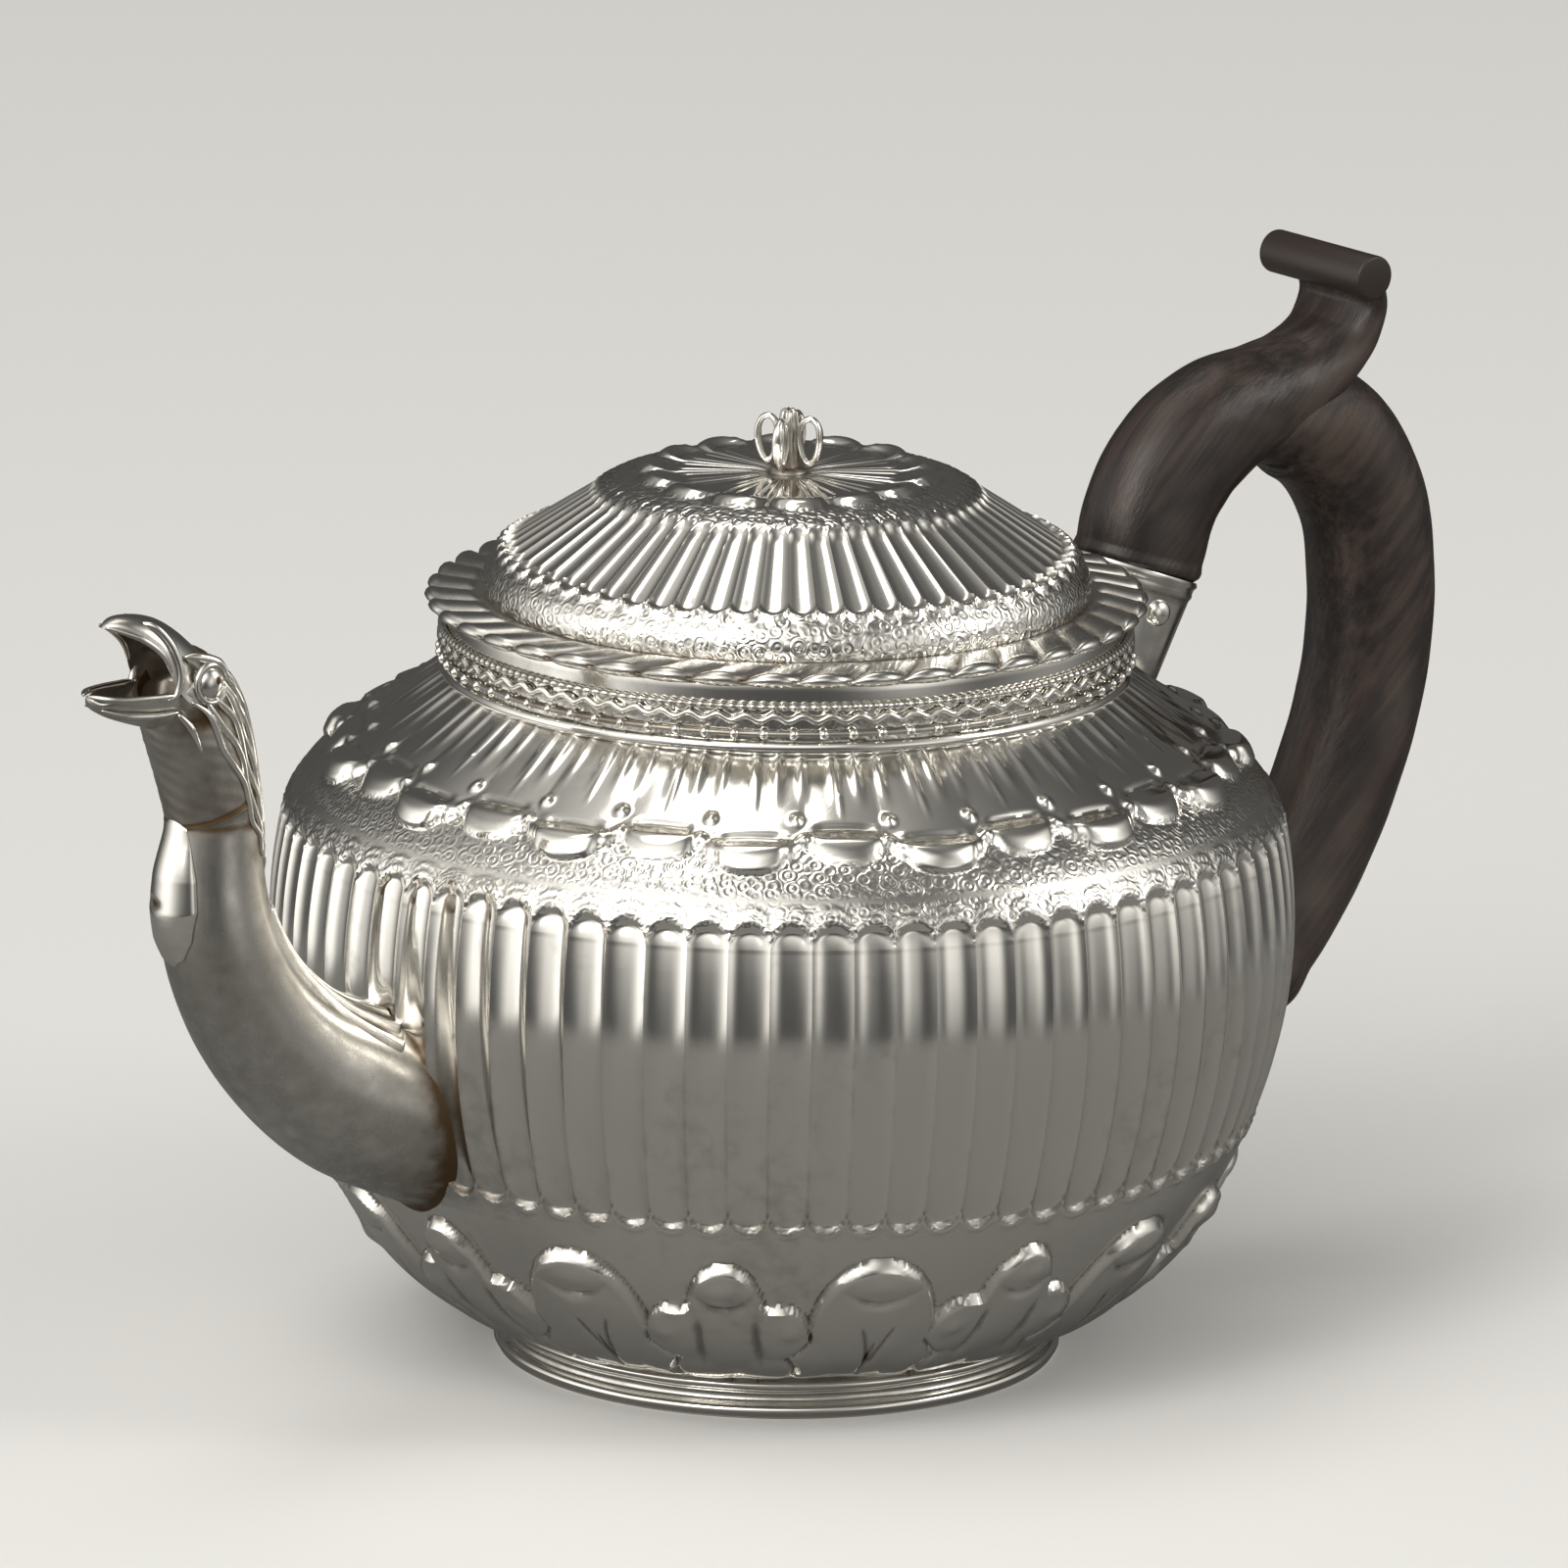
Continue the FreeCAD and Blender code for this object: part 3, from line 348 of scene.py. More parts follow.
# Its knots: how far from the middle of a leaf, how far down, and how wide.
KNOTS = [(0.24, 0.56, 0.8), (0.27, 0.73, 0.75)]
turn_high = arc_points(TURN, arc_angle(TURN, PLAIN_HIGH), TURN_END, 34)
slope_end = turn_high[-1]
slope = [(slope_end[0] + (NECK_R - slope_end[0]) * s, slope_end[1] + (NECK_Z - slope_end[1]) * s)
         for s in np.linspace(0.0, 1.0, 46)]
shoulder_line = turn_high + slope[1:]
shoulder_inner = inset_points(shoulder_line, BODY_WALL)[::8] + [(NECK_R - 1.1, NECK_Z)]


def hanging_leaf(angle, fall, offset, tip, width, proud, cap):
    """One row of leaves: fall runs from 0 at the neck to 1 at the tips, which turn over in a cap."""
    share = across_period(angle, LEAVES, offset) / width
    near = np.minimum(np.abs(share), 1.0)
    edge = tip - 0.30 * (1.0 - np.sqrt(1.0 - near ** 2)) - 0.035 * hump(near, 0.7, 0.09)
    depth = np.where(np.abs(share) < 1.0, edge - fall, -1.0)
    inside = ease(depth, -0.01, 0.03)
    turned_over = ease(fall, tip - 0.29, tip - 0.15) * ease(depth, -0.01, 0.13)
    crease_line = fall - tip + 0.30 - 0.03 * near ** 2
    crease = hump(crease_line, 0.0, 0.02) * ease(-near, -0.85, -0.7)
    eyelet = np.exp(-(((near - 0.68) * 4.0) ** 2 + (crease_line * 19.0) ** 2) / 0.3)
    vein = hump(share, 0.0, 0.04) * ease(-fall, -0.6, -0.35)
    pillow = (0.35 + 0.65 * ease(fall, 0.1, 0.8)) * (0.6 + 0.4 * (1.0 - near ** 2))
    raised = inside * (proud * pillow + cap * turned_over - 0.3 * crease + 0.35 * eyelet + 0.18 * vein)
    hollow = inside * (0.9 * crease + 0.3 * hump(near, 0.97, 0.05)) + 0.9 * hump(depth, -0.03, 0.025)
    return raised, inside, hollow


def knot(angle, fall, offset, place, spread):
    """A row of small round knots, one to each pair of leaves."""
    aside = across_period(angle, LEAVES, offset) * (math.pi * 57.0 / LEAVES)
    drop = (fall - place) * 19.0
    return np.exp(-((aside ** 2 + drop ** 2) / spread ** 2) ** 1.5)


def shoulder_relief(angle, radius, height):
    sway = 0.010 * np.sin(5 * angle + 0.7) + 0.007 * np.sin(11 * angle)
    fall = (NECK_Z - height) / (NECK_Z - LEAF_TIP_Z) + sway
    front, front_in, front_low = hanging_leaf(angle, fall, *FRONT_ROW)
    back, back_in, back_low = hanging_leaf(angle, fall, *BACK_ROW)
    raised = np.maximum(front, back)
    stem_share = across_period(angle, 2 * LEAVES, 0.25)
    stems = hump(stem_share, 0.0, 0.13) + 0.7 * hump(np.abs(stem_share), 0.62, 0.10)
    stems = stems * ease(-fall, -0.5, -0.1)
    knots = sum(knot(angle, fall, side * offset, place, spread)
                for side in (-1, 1) for offset, place, spread in KNOTS)
    covered = np.maximum(front_in, back_in)
    hollow = np.where(front_in > 0.5, front_low, np.maximum(0.8 * front_low, back_low * back_in))
    hollow = hollow + 0.7 * ease(-fall, -0.14, 0.0) + 0.25 * ease(-fall, -0.45, -0.1) * (1.0 - stems)
    seam = ease(height, PLAIN_HIGH, PLAIN_HIGH + SEAM)
    raised = raised + 0.38 * stems + 0.6 * knots
    return raised * seam, 0.45 * hollow, (1.0 - covered) * seam


chased_ring("body_shoulder", shoulder_line, shoulder_inner[::-1], RING_STEPS, shoulder_relief,
            "pot", "body_shell", bright_silver)

# Bowl: tall single leaves with veins and three-lobed leaves take turns round the foot, each
# with a turned-over tip, on a plain ground. The flat base closes the body inside the foot.
LOW_LEAVES = 9
BOWL_START = arc_angle(BOWL, BASE_Z)
BOWL_END = -34.7
bowl_arc = arc_points(BOWL, BOWL_START, BOWL_END, 44)
side_low = arc_points(SIDE, BOWL_END, arc_angle(SIDE, PLAIN_LOW), 26)
bowl_line = bowl_arc + side_low[1:]
bowl_inner = inset_points(bowl_line, BODY_WALL)[::7]
bowl_inner[0] = (bowl_inner[0][0], BASE_Z + BODY_WALL)


def lobe(across, up, middle, level, wide, high):
    """Positive inside a rounded lobe, negative outside."""
    return 1.0 - np.abs((across - middle) / wide) ** 2.2 - np.abs((up - level) / high) ** 2.2


# Lobes of its leaves, each with its middle's place across and up, and half its width and height.
TALL_BLADE = (0.0, 15.5, 8.2, 11.5)
TALL_FOOT = (6.5, 9.5, 5.0, 6.0)
THREE_TOP = (0.0, 17.5, 5.2, 9.4)
THREE_SIDE = (6.3, 15.5, 4.3, 4.8)
THREE_FOOT = (5.8, 9.3, 6.8, 3.6)


def bowl_relief(angle, radius, height):
    half = math.pi * radius / LOW_LEAVES
    across = across_period(angle, LOW_LEAVES, 0.37) * half
    up = height + 0.35 * np.sin(4 * angle) + 0.25 * np.sin(13 * angle + 1.0)
    aside = half - np.abs(across)
    tall = np.maximum(lobe(across, up, *TALL_BLADE), lobe(np.abs(across), up, *TALL_FOOT))
    three = np.maximum(lobe(aside, up, *THREE_TOP), lobe(aside, up, *THREE_SIDE))
    three = np.maximum(three, lobe(aside, up, *THREE_FOOT))
    field = np.maximum(tall, three)
    inside = ease(field, -0.02, 0.23)
    tall_tip = hump(up, 24.2, 1.5) * hump(across, 0.0, 4.2)
    three_tip = hump(up, 24.0, 1.5) * hump(aside, 0.0, 3.0)
    curl = hump(up, 17.0, 1.2) * hump(aside, 8.0, 1.6)
    under = hump(up - 0.09 * across ** 2, 21.0, 0.55) * hump(across, 0.0, 3.6)
    under = under + hump(up - 0.16 * aside ** 2, 20.6, 0.55) * hump(aside, 0.0, 2.8)
    stroke = np.abs(across - 0.6) - 0.055 * np.maximum(up - 9.0, 0.0) ** 1.7
    vein = hump(stroke, 0.0, 0.28) * ease(up, 10.0, 12.0) * ease(-up, -18.5, -16.5)
    side_stroke = across - 0.04 * np.maximum(up - 9.0, 0.0) ** 1.3
    vein = vein + hump(side_stroke, 0.2, 0.22) * ease(up, 8.5, 10.0) * ease(-up, -16.0, -14.0)
    split = hump(tall - three, 0.0, 0.07) * inside
    outline = hump(field, -0.03, 0.05)
    fold = hump(aside, 3.6, 0.5) * ease(up, 10.0, 13.0) * ease(-up, -20.0, -17.0)
    raised = inside * (1.0 + 0.45 * np.clip(field, 0.0, 1.0)) + 0.75 * (tall_tip + three_tip) * inside
    raised = raised + 0.5 * curl * inside + 0.26 * hump(field, 0.1, 0.14)
    raised = raised - inside * (0.75 * under + 0.35 * vein + 0.45 * fold) - 0.8 * split - 0.3 * outline
    near_base = ease(up, BASE_Z + 0.4, BASE_Z + 2.2)
    seam = near_base * ease(-height, -PLAIN_LOW, -PLAIN_LOW + SEAM)
    hollow = 0.6 * split + 0.55 * outline + inside * (0.5 * under + 0.8 * vein + 0.6 * fold)
    hollow = hollow + 0.35 * (1.0 - ease(up, 6.0, 9.0))
    return raised * seam, 0.95 * hollow, 0.0 * angle


bowl_inside = bowl_inner[::-1] + [(0.0, BASE_Z + BODY_WALL), (0.0, BASE_Z)]
chased_ring("body_bowl", bowl_line, bowl_inside, RING_STEPS, bowl_relief, "pot", "body_shell", bright_silver)

# Foot: a drawn moulding of a flat flange, a hollow and two beads, bent into a ring and
# soldered under the body. Its lower edge is rubbed and a little uneven from standing.
FOOT_R = 36.6
FOOT_INNER = 33.0
FOOT_STEPS = 320
foot_outside = ([(FOOT_R - 0.4, 0.0)] + arc_points((FOOT_R - 0.85, 0.95, 0.85), -60, 70, 9)
                + arc_points((FOOT_R - 0.3, 2.75, 1.1), -120, -215, 9)
                + arc_points((35.35, 4.15, 0.75), -70, 90, 9) + [(34.8, 5.1), (34.6, BASE_Z)])
foot_inside = [(FOOT_INNER, BASE_Z), (FOOT_INNER, 3.0), (FOOT_INNER, 0.0)]


def foot_relief(angle, radius, height):
    worn = 0.06 * np.sin(5 * angle) + 0.04 * np.sin(17 * angle + 2.0)
    low = hump(height, 2.7, 0.7) + hump(height, 5.6, 0.6)
    return worn * ease(height, 0.2, 1.0), 0.45 * low, 0.0 * height


chased_ring("foot_moulding", foot_outside, foot_inside, FOOT_STEPS, foot_relief,
            "pot", "foot_ring", bright_silver)

# Collar: a plain upright strip that carries the lid, bent round and soldered on the neck,
# with a half-round moulding at its foot.
SEAT_Z = 98.1
MOUTH_R = NECK_R - 1.1
COLLAR_STEPS = 256
collar_outside = [(NECK_R, z) for z in np.linspace(NECK_Z, SEAT_Z - 0.3, 12)] + [(NECK_R - 0.15, SEAT_Z)]
collar_inside = [(MOUTH_R + 0.15, SEAT_Z), (MOUTH_R, SEAT_Z - 0.3), (MOUTH_R, NECK_Z)]


def strip_relief(angle, radius, height):
    soft = 0.05 * np.sin(9 * angle) * np.sin(0.8 * height)
    lines = hump(height, 91.0, 0.35) + hump(height, 93.1, 0.35) + hump(height, 95.7, 0.3)
    return soft, 0.5 * lines, 0.4 * ease(-height, -95.5, -95.0)


chased_ring("collar_strip", collar_outside, collar_inside, COLLAR_STEPS, strip_relief,
            "pot", "neck_collar", bright_silver)

MOULDING_R = NECK_R + 0.05
moulding_outside = arc_points((MOULDING_R - 0.1, NECK_Z + 0.85, 0.92), -75, 75, 11)
moulding_inside = [(MOULDING_R, NECK_Z + 1.7), (MOULDING_R, NECK_Z + 0.02)]


def moulding_relief(angle, radius, height):
    return 0.05 * np.sin(21 * angle), 0.2 * hump(height, NECK_Z, 0.4), 0.0 * height


chased_ring("collar_moulding", moulding_outside, moulding_inside, COLLAR_STEPS, moulding_relief,
            "pot", "neck_moulding", bright_silver)

# Collar wires: a row of beads swaged from one wire, a wire crimped into waves and a fine
# milled wire, each bent into a ring and soldered round the strip.
BEADS = 74
BEAD_R = 0.66
CORE_R = 0.38
CORE_STEPS = 252
BEAD_Z = NECK_Z + 2.75
bead_form = new_form()
hollow_mark = bead_form.verts.layers.float["hollow"]
AXIS_TO_Y = Matrix.Rotation(math.pi / 2, 4, "X")
core_place = Matrix.Translation((NECK_R + 0.55, 0, BEAD_Z)) @ AXIS_TO_Y
core = bmesh.ops.create_circle(bead_form, segments=8, radius=CORE_R, cap_ends=False, matrix=core_place)
core_edges = list({e for v in core["verts"] for e in v.link_edges})
bmesh.ops.spin(bead_form, geom=core["verts"] + core_edges, axis=(0, 0, 1), cent=(0, 0, 0), dvec=(0, 0, 0),
               angle=2 * math.pi, steps=CORE_STEPS, use_merge=True)
for vert in bead_form.verts:
    vert[hollow_mark] = 0.6
for number in range(BEADS):
    turn = Matrix.Rotation(2 * math.pi * number / BEADS, 4, "Z")
    spot = turn @ Matrix.Translation((NECK_R + 0.72, 0, BEAD_Z))
    bead = bmesh.ops.create_uvsphere(bead_form, u_segments=10, v_segments=7, radius=BEAD_R, matrix=spot)
    for vert in bead["verts"]:
        vert[hollow_mark] = 0.25 * float(math.hypot(vert.co.x, vert.co.y) < NECK_R + 0.8)
finished("collar_beads", bead_form, "pot", ["collar_bead_wire"], bright_silver, crease=80.0)


def ring_wire(around, middle, height, steps):
    """A round wire bent into a ring, with its whole section marked as outside."""
    section = arc_points((middle, height, around), 0, 324, 10)
    return turned(section, [], steps)


WAVES = 77
wave_form = ring_wire(0.5, NECK_R + 0.62, NECK_Z + 4.75, WAVES * 10)
for vert in wave_form.verts:
    vert.co.z += 0.36 * math.sin(WAVES * math.atan2(vert.co.y, vert.co.x))
finished("collar_waves", wave_form, "pot", ["collar_wave_wire"], bright_silver, crease=80.0)

NICKS = 210
milled_form = ring_wire(0.45, NECK_R + 0.5, NECK_Z + 6.2, NICKS * 5)


def milled_relief(angle, radius, height):
    nicks = np.sin(NICKS * angle)
    return 0.10 * nicks, 0.3 - 0.3 * nicks, 0.0 * height


chase(milled_form, milled_relief)
finished("collar_milling", milled_form, "pot", ["collar_milled_wire"], bright_silver, crease=80.0)

# Spout: a tapering tube formed from sheet along a swan-like bend, thin enough to see at the
# seam, and soldered on the body over the strainer holes.
SPOUT_STATIONS = [
    (55.0, 40.0, 12.6), (62.0, 41.9, 11.9), (68.5, 44.2, 11.0), (78.0, 50.2, 9.2), (85.5, 59.0, 8.0),
    (89.6, 69.0, 7.2), (90.3, 77.0, 6.4), (90.3, 84.0, 5.95),
]
SPOUT_WALL = 0.9
SPOUT_WAY = -1.0
SPOUT_SIDES = 72
SPOUT_ROWS = 220
FLARE = 1.0
FLARE_RUN = 0.045
# The darker silver of the spout, head, sockets, lid border and finial is partly tarnish and partly painted
# shade, which stands for the dark surroundings the metal reflects.
TARNISH_AND_PAINTED_SHADE = 0.15
tarnished_shaded_silver = silver_finish("tarnished_shaded_silver", TARNISH_AND_PAINTED_SHADE)


def blended(s, start, end, first, last):
    """A point of the smooth curve between two places that leaves and arrives along two runs."""
    return ((2 * s ** 3 - 3 * s ** 2 + 1) * start + (s ** 3 - 2 * s ** 2 + s) * first
            + (3 * s ** 2 - 2 * s ** 3) * end + (s ** 3 - s ** 2) * last)


def smooth_path(stations, count):
    """Evenly spaced places on a smooth curve through the stations."""
    flat = np.array(stations, float)
    steps = np.linalg.norm(np.diff(flat[:, :2], axis=0), axis=1)
    reach = np.concatenate([[0.0], np.cumsum(steps)])
    slopes = np.gradient(flat, reach, axis=0)
    places = np.linspace(0.0, reach[-1], count)
    found = []
    for place in places:
        index = min(int(np.searchsorted(reach, place, side="right")) - 1, len(reach) - 2)
        width = reach[index + 1] - reach[index]
        s = (place - reach[index]) / width
        first = width * slopes[index]
        last = width * slopes[index + 1]
        found.append(blended(s, flat[index], flat[index + 1], first, last))
    return np.array(found)


def wrapped(form, around, along, place):
    """Wraps a grid round a form: place gives a point, and how hollow it is, from the shares
    of the way round and along."""
    hollow_layer = form.verts.layers.float["hollow"]
    grid = bmesh.ops.create_grid(form, x_segments=around, y_segments=along, size=0.5)
    for vert in grid["verts"]:
        spot, hollow = place(vert.co.x + 0.5, vert.co.y + 0.5)
        vert.co = spot
        vert[hollow_layer] = hollow
    bmesh.ops.remove_doubles(form, verts=grid["verts"], dist=0.002)
    return form


ROOT_SINK = 1.3
SOLDER_SINK = 0.4
REACH_LOW = 10.0
REACH_HIGH = 72.0
SIDE_FOOT = 20.0


def body_reach(height):
    """The body's outer radius at a height on its side or bowl."""
    height = min(max(height, REACH_LOW), REACH_HIGH)
    if height > SIDE_FOOT:
        return SIDE[0] + math.sqrt(SIDE[2] ** 2 - (height - SIDE[1]) ** 2)
    return BOWL[0] + math.sqrt(BOWL[2] ** 2 - (height - BOWL[1]) ** 2)


class Bend:
    """A bent line in the plane of spout and handle, read by the share of its length."""

    def __init__(self, stations, count, way):
        self.way = way
        self.line = smooth_path(stations, count)
        run = np.gradient(self.line[:, :2], axis=0)
        self.run = run / np.linalg.norm(run, axis=1)[:, None]

    def at(self, share):
        """Place, run and sizes at a share of the length."""
        far = share * (len(self.line) - 1)
        index = min(int(far), len(self.line) - 2)
        part = far - index
        spot = self.line[index] * (1 - part) + self.line[index + 1] * part
        run = self.run[index] * (1 - part) + self.run[index + 1] * part
        return spot[:2], run / np.linalg.norm(run), spot[2:]

    def point(self, share, turn, deep, broad):
        """A point of an oval section, where turn 0 lies to the left of the run."""
        (across, up), run = self.at(share)[:2]
        rise = math.cos(turn) * deep
        aside = math.sin(turn) * broad
        return Vector((self.way * (across - run[1] * rise), aside, up + run[0] * rise))


spout_bend = Bend(SPOUT_STATIONS, 90, SPOUT_WAY)


def leaving_share(bend, turn):
    """The share of a bend at which a line along its side comes out of the body."""
    for share in np.linspace(0.0, 0.5, 201):
        round_ = bend.at(share)[2][0]
        spot = bend.point(share, turn, round_, round_)
        if math.hypot(spot.x, spot.y) > body_reach(spot.z) - ROOT_SINK:
            return float(share)
    return 0.5


root_shares = [leaving_share(spout_bend, 2 * math.pi * n / SPOUT_SIDES) for n in range(SPOUT_SIDES)]


def spout_place(round_share, along_share):
    turn = 2 * math.pi * round_share
    outer = along_share < 0.5
    start = root_shares[round(round_share * SPOUT_SIDES) % SPOUT_SIDES]
    run = 2 * along_share if outer else 2 - 2 * along_share
    share = start + (1.0 - start) * run
    round_ = spout_bend.at(share)[2][0] - (0.0 if outer else SPOUT_WALL)
    flare = FLARE * math.exp(-run / FLARE_RUN) if outer else 0.0
    spot = spout_bend.point(share, turn, round_ + flare, round_ + flare)
    stain = 0.9 * math.exp(-run / 0.05) + 0.5 * hump(share, 0.985, 0.012)
    under_mane = 0.45 * max(0.0, math.cos(turn)) * float(ease(share, 0.7, 0.85))
    return spot, stain + under_mane + 0.12 if outer else 0.7


spout_form = wrapped(new_form(), SPOUT_SIDES, SPOUT_ROWS, spout_place)
finished("spout_body", spout_form, "pot", ["spout_tube"], tarnished_shaded_silver, crease=70.0)

# Breast drop: a smooth tongue-shaped bead of silver, soldered down the front of the neck,
# with a small pit near its foot.
DROP_STATIONS = [
    (0.725, 0.2), (0.74, 2.2), (0.77, 3.7), (0.82, 4.5), (0.88, 4.1), (0.94, 3.2), (0.98, 2.4), (0.997, 0.3),
]
PIT_ALONG = (0.83, 0.009)
PIT_ROUND = (-0.3, 0.28)
PIT_DEEP = 0.5
DROP_GRID = (60, 90)


def drop_place(round_share, along_share):
    turn = 2 * math.pi * round_share
    shares = [s for s, w in DROP_STATIONS]
    share = shares[0] + (shares[-1] - shares[0]) * along_share
    wide = float(np.interp(share, shares, [w for s, w in DROP_STATIONS]))
    round_ = spout_bend.at(share)[2][0]
    aside = math.sin(turn) * wide / round_
    proud = math.cos(turn) * 0.38 * wide * (1.0 - 0.8 * float(ease(share, 0.88, 0.99))) + 0.05
    swing = (turn + math.pi) % (2 * math.pi) - math.pi
    pit = hump(share, *PIT_ALONG) * hump(swing, *PIT_ROUND)
    proud -= PIT_DEEP * pit
    spot = spout_bend.point(share, math.pi + aside, round_ + proud, round_ + proud)
    return spot, 0.5 * float(math.cos(turn) < 0.1) + 1.2 * pit


drop_form = wrapped(new_form(), *DROP_GRID, drop_place)
finished("breast_drop", drop_form, "pot", ["spout_breast_drop"], bright_silver, crease=80.0)

# Back leaf: a ribbed leaf soldered along the top of the spout. Its ribs run together on the
# neck and splay out over the root, where solder has left brown stains.
LEAF_RIBS = 7
LEAF_START = 0.20
LEAF_END = 0.80
LEAF_GRID = (120, 90)


def brought_out(spot, way):
    """Brings a point that is inside the body out to just under its surface."""
    wall = body_reach(spot.z) - SOLDER_SINK
    if math.hypot(spot.x, spot.y) < wall:
        spot.x = way * math.sqrt(wall ** 2 - spot.y ** 2)
    return spot


def leaf_place(round_share, along_share):
    share = LEAF_START + (LEAF_END - LEAF_START) * along_share
    taper = 1.0 - along_share
    point = min(1.0, 12 * along_share + 0.03, 14 * (1 - along_share) + 0.03)
    half_turn = (0.30 + 0.75 * taper ** 1.6) * point
    top = round_share < 0.5
    side = 4 * round_share - 1 if top else 3 - 4 * round_share
    ribs = 0.5 + 0.5 * math.cos(LEAF_RIBS * math.pi * side)
    rise = (0.35 + 0.75 * ribs) * math.sqrt(max(1.0 - side ** 2, 0.0)) if top else -0.25
    round_ = spout_bend.at(share)[2][0] + rise
    spot = spout_bend.point(share, half_turn * side, round_, round_)
    hollow = 0.55 * (1 - ribs) + 0.45 * taper ** 4 if top else 0.6
    return brought_out(spot, SPOUT_WAY), hollow


leaf_form = wrapped(new_form(), *LEAF_GRID, leaf_place)
finished("back_leaf", leaf_form, "pot", ["spout_back_leaf"], bright_silver, crease=70.0)

# Bird's head: a hollow casting that fits over the neck at a seam, open in front between
# the two halves of its beak.
HEAD_STATIONS = [
    (90.2, 83.6, 6.0, 6.0), (91.4, 88.5, 6.25, 6.1), (92.6, 93.2, 6.5, 6.2), (94.0, 97.2, 6.5, 6.1),
    (95.6, 100.2, 6.0, 5.8), (97.2, 102.2, 5.3, 5.2),
]
head_bend = Bend(HEAD_STATIONS, 60, SPOUT_WAY)
HEAD_WALL = 0.8
HEAD_GRID = (64, 150)
BEAK_WALL = 0.75
BEAK_GRID = (64, 40)


def head_place(round_share, along_share):
    turn = 2 * math.pi * round_share
    outer = along_share < 0.5
    share = 2 * along_share if outer else 2 - 2 * along_share
    deep, broad = head_bend.at(share)[2]
    if not outer:
        return head_bend.point(share, turn, deep - HEAD_WALL, broad - HEAD_WALL), 0.9
    side = math.sin(turn)
    seam = 0.07 + 0.05 * math.cos(turn)
    lip = 0.22 * hump(share, seam, 0.012)
    cheek = -0.6 * hump(share, 0.76, 0.11) * side ** 4 * max(0.0, 0.5 - math.cos(turn))
    dents = 0.06 * math.sin(9 * turn + 25 * share) * math.sin(33 * share)
    grow = lip + cheek + dents
    hollow = 0.6 * hump(share, seam + 0.02, 0.015) + 1.1 * abs(cheek)
    hollow += 0.5 * max(0.0, math.cos(turn))
    return head_bend.point(share, turn, deep + grow, broad + grow), hollow + 0.3


head_form = wrapped(new_form(), *HEAD_GRID, head_place)


def beak_half(form, stations, opening):
    """One half of the beak: a spoon of sheet along its keel, open towards its neighbour."""
    keel = Bend(stations, 40, SPOUT_WAY)

    def place(round_share, along_share):
        outer = round_share < 0.5
        side = 4 * round_share - 1 if outer else 3 - 4 * round_share
        deep, broad = keel.at(along_share)[2]
        end = math.sqrt(max(1.0 - (2 * along_share - 1) ** 16, 0.0))
        gauge = 0.0 if outer else BEAK_WALL * (1.0 - 0.9 * abs(side) ** 6)
        turn = side * math.radians(92.0)
        (across, up), run = keel.at(along_share)[:2]
        rise = (deep - gauge) * math.cos(turn) * end - deep
        aside = (broad - gauge) * math.sin(turn) * end
        spot = Vector((keel.way * (across - opening * run[1] * rise), aside, up + opening * run[0] * rise))
        return spot, 0.1 if outer else 0.55

    wrapped(form, *BEAK_GRID, place)


UPPER_BEAK = [
    (90.6, 101.6, 6.0, 5.6), (92.4, 104.2, 6.6, 5.4), (94.6, 106.4, 6.4, 5.0), (96.8, 108.3, 5.4, 4.7),
    (99.6, 110.0, 4.0, 4.2), (102.8, 110.8, 2.6, 3.4), (105.6, 110.8, 1.5, 2.1), (107.5, 110.2, 0.6, 0.7),
]
LOWER_BEAK = [
    (96.6, 94.4, 6.4, 5.0), (100.6, 96.0, 5.0, 4.7), (104.4, 97.3, 3.8, 4.1), (107.4, 98.6, 2.5, 3.0),
    (109.1, 99.8, 1.4, 1.8), (109.8, 101.2, 0.5, 0.6),
]
beak_half(head_form, UPPER_BEAK, 1.0)
beak_half(head_form, LOWER_BEAK, -1.0)


def rope(form, points, rounds, around=10, along=28, hollow=0.15):
    """A tapering rod along a few points, closed to a tip at both ends."""
    flat = np.array(points, float)
    places = np.linspace(0.0, 1.0, len(flat))

    def centre(share):
        far = share * (len(flat) - 1)
        index = min(int(far), len(flat) - 2)
        before = flat[max(index - 1, 0)]
        after = flat[min(index + 2, len(flat) - 1)]
        s = far - index
        first = (flat[index + 1] - before) / 2
        last = (after - flat[index]) / 2
        return blended(s, flat[index], flat[index + 1], first, last)

    def place(round_share, along_share):
        here = Vector(centre(along_share))
        run = Vector(centre(min(along_share + 0.02, 1.0)) - centre(max(along_share - 0.02, 0.0))).normalized()
        side = run.cross(Vector((0.3, 1.0, 0.2))).normalized()
        other = run.cross(side)
        round_ = float(np.interp(along_share, places, rounds))
        round_ *= math.sqrt(max(1.0 - (2 * along_share - 1) ** 8, 0.0))
        turn = 2 * math.pi * round_share
        return here + side * (round_ * math.cos(turn)) + other * (round_ * math.sin(turn)), hollow

    wrapped(form, around, along, place)


